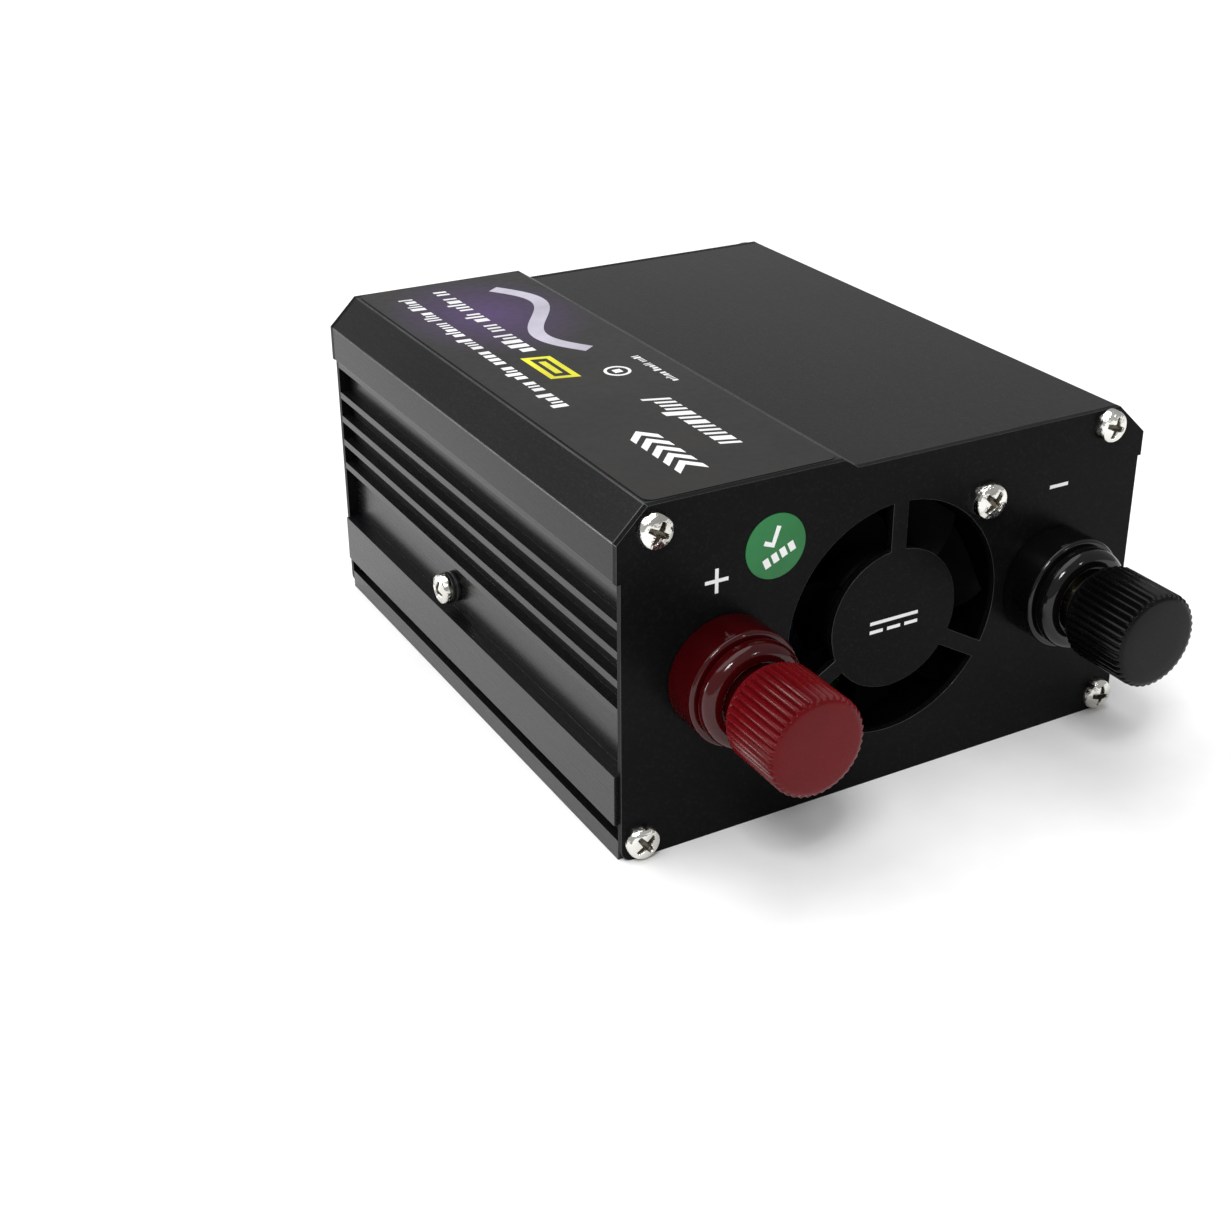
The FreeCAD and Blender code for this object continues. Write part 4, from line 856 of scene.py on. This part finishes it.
def make_front_marks(finish):
    """Polarity signs over the posts, the grille's mark and the sticker."""
    surface = Surface(Vector((0.0, FRONT, 0.0)), Vector((1, 0, 0)), Vector((0, 0, 1)))
    white = finish["white_ink"]
    print_shapes("plus_mark", surface, [plus_outline(s=-31.2, t=41.7, arm=1.9, half=0.28)], white)
    print_shapes("minus_mark", surface, [bar(s=28.6, t=42.75, width=3.6, height=0.56)], white)
    make_voltage_mark(surface, white)
    make_inspection_sticker(finish)


def make_voltage_mark(surface, white):
    """Direct-current sign on the grille's middle: a line over three dashes."""
    low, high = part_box("fan_frame")
    length = 8.8
    line = 0.55
    dash = 2.4
    pitch = (length - dash) / 2
    s = (low.x + high.x) / 2 / MM - length / 2
    t = 27.1
    shapes = [bar(s, t + 0.5, length, line)]
    shapes += [bar(s + i * pitch, t - 0.95, dash, line) for i in range(3)]
    print_shapes("direct_current_mark", surface, shapes, white)


STICKER_TILT = math.radians(24)


def make_inspection_sticker(finish):
    """Green disc with a tick over four blocks, turned a little."""
    low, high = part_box("inspection_sticker")
    x = (low.x + high.x) / 2
    z = (low.z + high.z) / 2
    radius = high.z - z
    thickness = (FRONT - low.y) - INK_THICKNESS
    corners = [
        (0.2 * MM, FRONT, 0),
        (radius, FRONT, 0),
        (radius, FRONT - thickness, 0.05 * MM),
        (0.2 * MM, FRONT - thickness, 0),
    ]
    disc = lathe("inspection_disc", filleted(corners, 3), x, z, [finish["green_paper"]], CASE, 96)
    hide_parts("inspection_sticker")
    along = Vector((math.cos(STICKER_TILT), 0, math.sin(STICKER_TILT)))
    up = Vector((-math.sin(STICKER_TILT), 0, math.cos(STICKER_TILT)))
    surface = Surface(Vector((x, FRONT - thickness, z)), along, up)
    tick = [(-1.7, 1.35), (-1.2, 1.85), (-0.35, 0.95), (1.35, 2.9), (1.9, 2.4), (-0.35, 0.05)]
    blocks = [bar(s=-2.8 + i * 1.5, t=-2.3, width=1.0, height=1.5) for i in range(4)]
    print_shapes("tick_mark", surface, [tick] + blocks, finish["white_ink"])


# ------------------------------------------------------------------ fan

SHAFT_RADIUS = 1.6 * MM
HUB_RADIUS = 11.0 * MM
BLADE_ROOT = HUB_RADIUS - 0.3 * MM
BLADE_TIP = 18.1 * MM
BLADE_THICKNESS = 0.8 * MM
BLADE_SWEEP = 0.62
TIP_LEAN = 0.16
BLADE_CAMBER = 0.10
BLADE_INSET = 0.06
BLADES = 7
FIRST_BLADE = math.radians(-62)


def fan_axis():
    """Where the rotor's axis crosses the plates: x and z of its joint."""
    spin = [joint for joint in frame["joints"] if joint["name"] == "fan_spin"][0]
    return spin["pos_m"][0], spin["pos_m"][2]


def make_fan(finish):
    # The fan's near-black finish is painted shade behind the grille.
    refine("fan_frame", [finish["fan"]], 0.25 * MM, 2)
    low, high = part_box("fan_rotor")
    x, z = fan_axis()
    corners = [
        (SHAFT_RADIUS, high.y, 0),
        (HUB_RADIUS, high.y, 0),
        (HUB_RADIUS, low.y, 1.2 * MM),
        (0.3 * MM, low.y, 0),
    ]
    rotor = lathe("rotor_hub", filleted(corners), x, z, [finish["fan"]], "fan", 96)
    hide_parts("fan_rotor")
    bm = bmesh.new()
    for i in range(BLADES):
        add_blade(bm, x, z, low.y, high.y, FIRST_BLADE + 2 * math.pi * i / BLADES)
    blades = piece_from("rotor_blades", bm, [finish["fan"]], "fan")
    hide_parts("fan_rotor")


def add_blade(bm, x, z, front, back, start):
    """Curved blade, swept round and twisted from root to tip."""
    across = 8
    along = 8
    layers = []
    for side in (-0.5, 0.5):
        grid = []
        for i in range(across + 1):
            out = i / across
            radius = BLADE_ROOT + (BLADE_TIP - BLADE_ROOT) * out
            row = []
            for j in range(along + 1):
                share = j / along
                bow = BLADE_CAMBER * math.sin(math.pi * share)
                turn = start + BLADE_SWEEP * share + TIP_LEAN * out * out - bow
                depth = BLADE_INSET + (1.0 - 2 * BLADE_INSET) * share
                y = front + (back - front) * depth + side * BLADE_THICKNESS
                row.append(bm.verts.new((x + radius * math.cos(turn), y, z + radius * math.sin(turn))))
            grid.append(row)
        layers.append(grid)
    low, high = layers
    for i in range(across):
        for j in range(along):
            bm.faces.new((low[i][j], low[i + 1][j], low[i + 1][j + 1], low[i][j + 1]))
            bm.faces.new((high[i][j], high[i + 1][j], high[i + 1][j + 1], high[i][j + 1]))
    for i in range(across):
        for j in (0, along):
            bm.faces.new((low[i][j], low[i + 1][j], high[i + 1][j], high[i][j]))
    for j in range(along):
        for i in (0, across):
            bm.faces.new((low[i][j], low[i][j + 1], high[i][j + 1], high[i][j]))


# ------------------------------------------------------------------ rear panel

def make_rear_panel(finish):
    refine("outlet_housing", [finish["outlet"]], 0.5 * MM, 3)
    refine("switch_frame", [finish["switch"]], 0.35 * MM, 3)
    refine("switch_rocker", [finish["rocker"]], 0.5 * MM, 4, 25.0)
    refine("usb_shell", [finish["steel"]], 0.1 * MM, 2)
    refine("usb_tongue", [finish["usb_white"]], 0.12 * MM, 2)
    low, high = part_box("power_led")
    x = (low.x + high.x) / 2
    z = (low.z + high.z) / 2
    radius = high.z - z
    socket = 1.0 * MM
    profile = [Vector((socket, low.y)), Vector((radius, low.y)), Vector((radius, REAR))]
    dome_steps = 14
    for i in range(1, dome_steps):
        turn = math.pi / 2 * i / dome_steps
        profile.append(Vector((radius * math.cos(turn), REAR + (high.y - REAR) * math.sin(turn))))
    lamp = lathe("indicator_lens", profile, x, z, [finish["lamp"]], CASE, 64)
    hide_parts("power_led")


# ------------------------------------------------------------------ inner nodes

def paint(node, material):
    """Give a CAD node that stays as it is a finished material."""
    slots = frame["nodes"][node].data.materials
    slots.clear()
    slots.append(material)


POST_LOOKS = {
    "post_stud": "brass",
    "post_nut": "brass",
    "ring_lug": "brass",
    "knob_insert": "blackened",
    "clamp_washer": "blackened",
    "post_insulator": "nylon_natural",
}

INNER_LOOKS = {
    "red_supply_wire": "red_wire",
    "black_supply_wire": "black_wire",
    "circuit_board": "board",
    "board_standoffs": "steel",
    "board_screws": "nickel",
    "wire_terminals": "terminal",
    "transformer_core": "ferrite",
    "transformer_winding": "tape",
    "input_capacitors": "sleeve",
    "bulk_capacitor": "sleeve",
    "output_choke": "copper",
    "blade_fuses": "fuse",
    "control_chips": "epoxy",
    "left_transistors": "epoxy",
    "right_transistors": "epoxy",
    "insulating_pads": "silicone",
    "clamp_bars": "steel",
    "outlet_contacts": "brass",
    "outlet_wires": "black_wire",
    "switch_terminals": "brass",
}


def paint_inner_nodes(finish):
    for part, look in POST_LOOKS.items():
        for colour in ("red", "black"):
            paint(f"{colour}_{part}", finish[look])
    for node, look in INNER_LOOKS.items():
        paint(node, finish[look])


# ------------------------------------------------------------------ finishes

DRAWN_ALONG = (1.0, 0.02, 1.0)
EVEN = (1.0, 1.0, 1.0)


def grey(value):
    return (value, value, value)


def make_finishes():
    """Every finish by a short name; each is made once and shared.

    The values are the shader's name, dark and light colour and roughness, and for anodised and
    dark_plastic also the sheen.
    """
    return {
        "cover": anodised("anodised_cover",
                          (0.0035, 0.0036, 0.0037), (0.0055, 0.0056, 0.0058), 0.27, 0.18, DRAWN_ALONG),
        "side": anodised("anodised_channel",
                         (0.0030, 0.0032, 0.0034), (0.0042, 0.0045, 0.0048), 0.27, 0.36, DRAWN_ALONG),
        "plate": anodised("anodised_plate",
                          (0.0020, 0.0021, 0.0021), (0.0034, 0.0035, 0.0036), 0.30, 0.05, EVEN),
        # Lighter edge colour: a painted highlight on the bevels.
        "edge": painted_edge_highlight(),
        "nickel": nickel(),
        "recess_shade": painted_recess_shade(),
        "nylon": matte_plastic("black_nylon", grey(0.004), grey(0.008), 0.38),
        "label": label_film(),
        "white_ink": ink("white_ink", grey(0.66), grey(0.84)),
        "silver_ink": ink("silver_ink", (0.36, 0.34, 0.40), (0.50, 0.47, 0.56)),
        "yellow_ink": ink("yellow_ink", (0.55, 0.52, 0.01), (0.78, 0.76, 0.02)),
        "green_paper": dark_plastic("green_paper",
                                    (0.010, 0.125, 0.030), (0.016, 0.165, 0.045), 0.42, 0.3),
        # The red base is a darker maroon than the knob: painted shade on the flange, which sits in
        # shade.
        "red_base": dark_plastic("maroon_gloss_painted_shade",
                                 (0.024, 0.0006, 0.0011), (0.038, 0.0010, 0.0018), 0.08, 0.32),
        "red_knob": dark_plastic("maroon_satin",
                                 (0.084, 0.0018, 0.0032), (0.108, 0.0027, 0.0047), 0.22, 0.12),
        "black_base": dark_plastic("black_gloss", grey(0.0015), grey(0.0035), 0.07, 0.36),
        "black_knob": dark_plastic("black_satin", grey(0.0014), grey(0.0032), 0.22, 0.12),
        "blackened": dark_plastic("blackened_brass",
                                  (0.004, 0.0035, 0.003), (0.009, 0.008, 0.007), 0.35, 0.2),
        # Near-zero colour for the fan and its frame: painted shade behind the grille.
        "fan": dark_plastic("fan_plastic", grey(0.0004), grey(0.0010), 0.5, 0.02),
        "outlet": matte_plastic("outlet_plastic", grey(0.012), grey(0.024), 0.42),
        "switch": matte_plastic("switch_plastic", grey(0.010), grey(0.020), 0.32),
        "rocker": glossy_plastic("rocker_plastic", (0.24, 0.006, 0.006), (0.34, 0.012, 0.010), 0.22),
        "usb_white": matte_plastic("usb_white", (0.60, 0.60, 0.58), (0.74, 0.74, 0.72), 0.4),
        "lamp": lamp_lens(),
        "steel": bare_metal("zinc_steel", (0.44, 0.45, 0.47), (0.62, 0.63, 0.65), 0.34),
        "brass": bare_metal("plated_brass", (0.50, 0.44, 0.28), (0.70, 0.62, 0.42), 0.28),
        "nylon_natural": matte_plastic("nylon_natural", (0.60, 0.58, 0.52), (0.72, 0.70, 0.64), 0.4),
        "red_wire": matte_plastic("red_sheath", (0.38, 0.01, 0.012), (0.50, 0.02, 0.02), 0.4),
        "black_wire": matte_plastic("black_sheath", grey(0.012), grey(0.022), 0.4),
        "board": glossy_plastic("solder_mask", (0.008, 0.10, 0.035), (0.015, 0.16, 0.055), 0.3),
        "terminal": matte_plastic("terminal_plastic", (0.02, 0.22, 0.07), (0.03, 0.30, 0.10), 0.4),
        "ferrite": matte_plastic("ferrite", (0.030, 0.030, 0.032), (0.060, 0.060, 0.064), 0.6),
        "tape": glossy_plastic("winding_tape", (0.60, 0.40, 0.03), (0.75, 0.52, 0.06), 0.3),
        "sleeve": glossy_plastic("shrink_sleeve", (0.012, 0.016, 0.045), (0.02, 0.028, 0.075), 0.25),
        "copper": bare_metal("enamelled_copper", (0.50, 0.20, 0.08), (0.68, 0.30, 0.13), 0.3),
        "fuse": glossy_plastic("fuse_plastic", (0.62, 0.40, 0.02), (0.80, 0.55, 0.04), 0.2),
        "epoxy": matte_plastic("chip_epoxy", (0.012, 0.012, 0.013), (0.024, 0.024, 0.026), 0.55),
        "silicone": matte_plastic("silicone_pad", (0.42, 0.44, 0.47), (0.54, 0.56, 0.60), 0.7),
    }


# ------------------------------------------------------------------ stage

FLOOR_REACH = 3.0


def make_floor(material):
    """Pale floor, wide enough to fill the picture."""
    bm = bmesh.new()
    bmesh.ops.create_grid(bm, x_segments=8, y_segments=8, size=FLOOR_REACH)
    mesh = bpy.data.meshes.new("floor")
    bm.to_mesh(mesh)
    bm.free()
    mesh.materials.append(material)
    floor = bpy.data.objects.new("floor", mesh)
    bpy.context.scene.collection.objects.link(floor)


def add_softbox(name, place, target, size, power):
    """Square lamp of the given width, turned to face its target."""
    data = bpy.data.lights.new(name, "AREA")
    data.shape = "SQUARE"
    data.size = size
    data.energy = power
    aim_lamp(name, data, place, target)


def aim_lamp(name, data, place, target):
    lamp = bpy.data.objects.new(name, data)
    lamp.location = place
    lamp.rotation_euler = (Vector(target) - Vector(place)).to_track_quat("-Z", "Y").to_euler()
    bpy.context.scene.collection.objects.link(lamp)


AMBIENT = 0.45
CEILING_POWER = 2.2
CEILING_SPREAD = math.radians(70)


def make_lights():
    """Broad light from above for a white floor, softboxes for the sheen, small lamps for glints."""
    world = bpy.data.worlds.new("studio")
    bpy.context.scene.world = world
    world.use_nodes = True
    background = world.node_tree.nodes["Background"]
    background.inputs["Color"].default_value = (1.0, 1.0, 1.0, 1.0)
    background.inputs["Strength"].default_value = AMBIENT
    ceiling = bpy.data.lights.new("ceiling", "SUN")
    ceiling.energy = CEILING_POWER
    ceiling.angle = CEILING_SPREAD
    aim_lamp("ceiling", ceiling, (-0.25, 0.35, 1.0), (0, 0, 0))
    posts = (0, -0.05, 0.03)
    add_softbox("key", (-0.45, -0.55, 0.75), (0, -0.04, 0.03), size=0.22, power=4.0)
    add_softbox("side_glow", (-0.70, 0.62, 0.10), (0, 0, 0.02), size=0.26, power=3.0)
    add_softbox("high_glint", (-0.28, -0.50, 0.62), posts, size=0.045, power=0.45)
    add_softbox("low_glint", (0.30, -0.70, 0.40), posts, size=0.045, power=0.35)
    bpy.context.scene.view_settings.view_transform = "Standard"


make_camera()
finishes = make_finishes()
make_case(finishes)
make_all_screws(finishes)
make_post("red", finishes)
make_post("black", finishes)
make_label(finishes)
make_front_marks(finishes)
make_fan(finishes)
make_rear_panel(finishes)
paint_inner_nodes(finishes)
make_floor(floor_white())
make_lights()
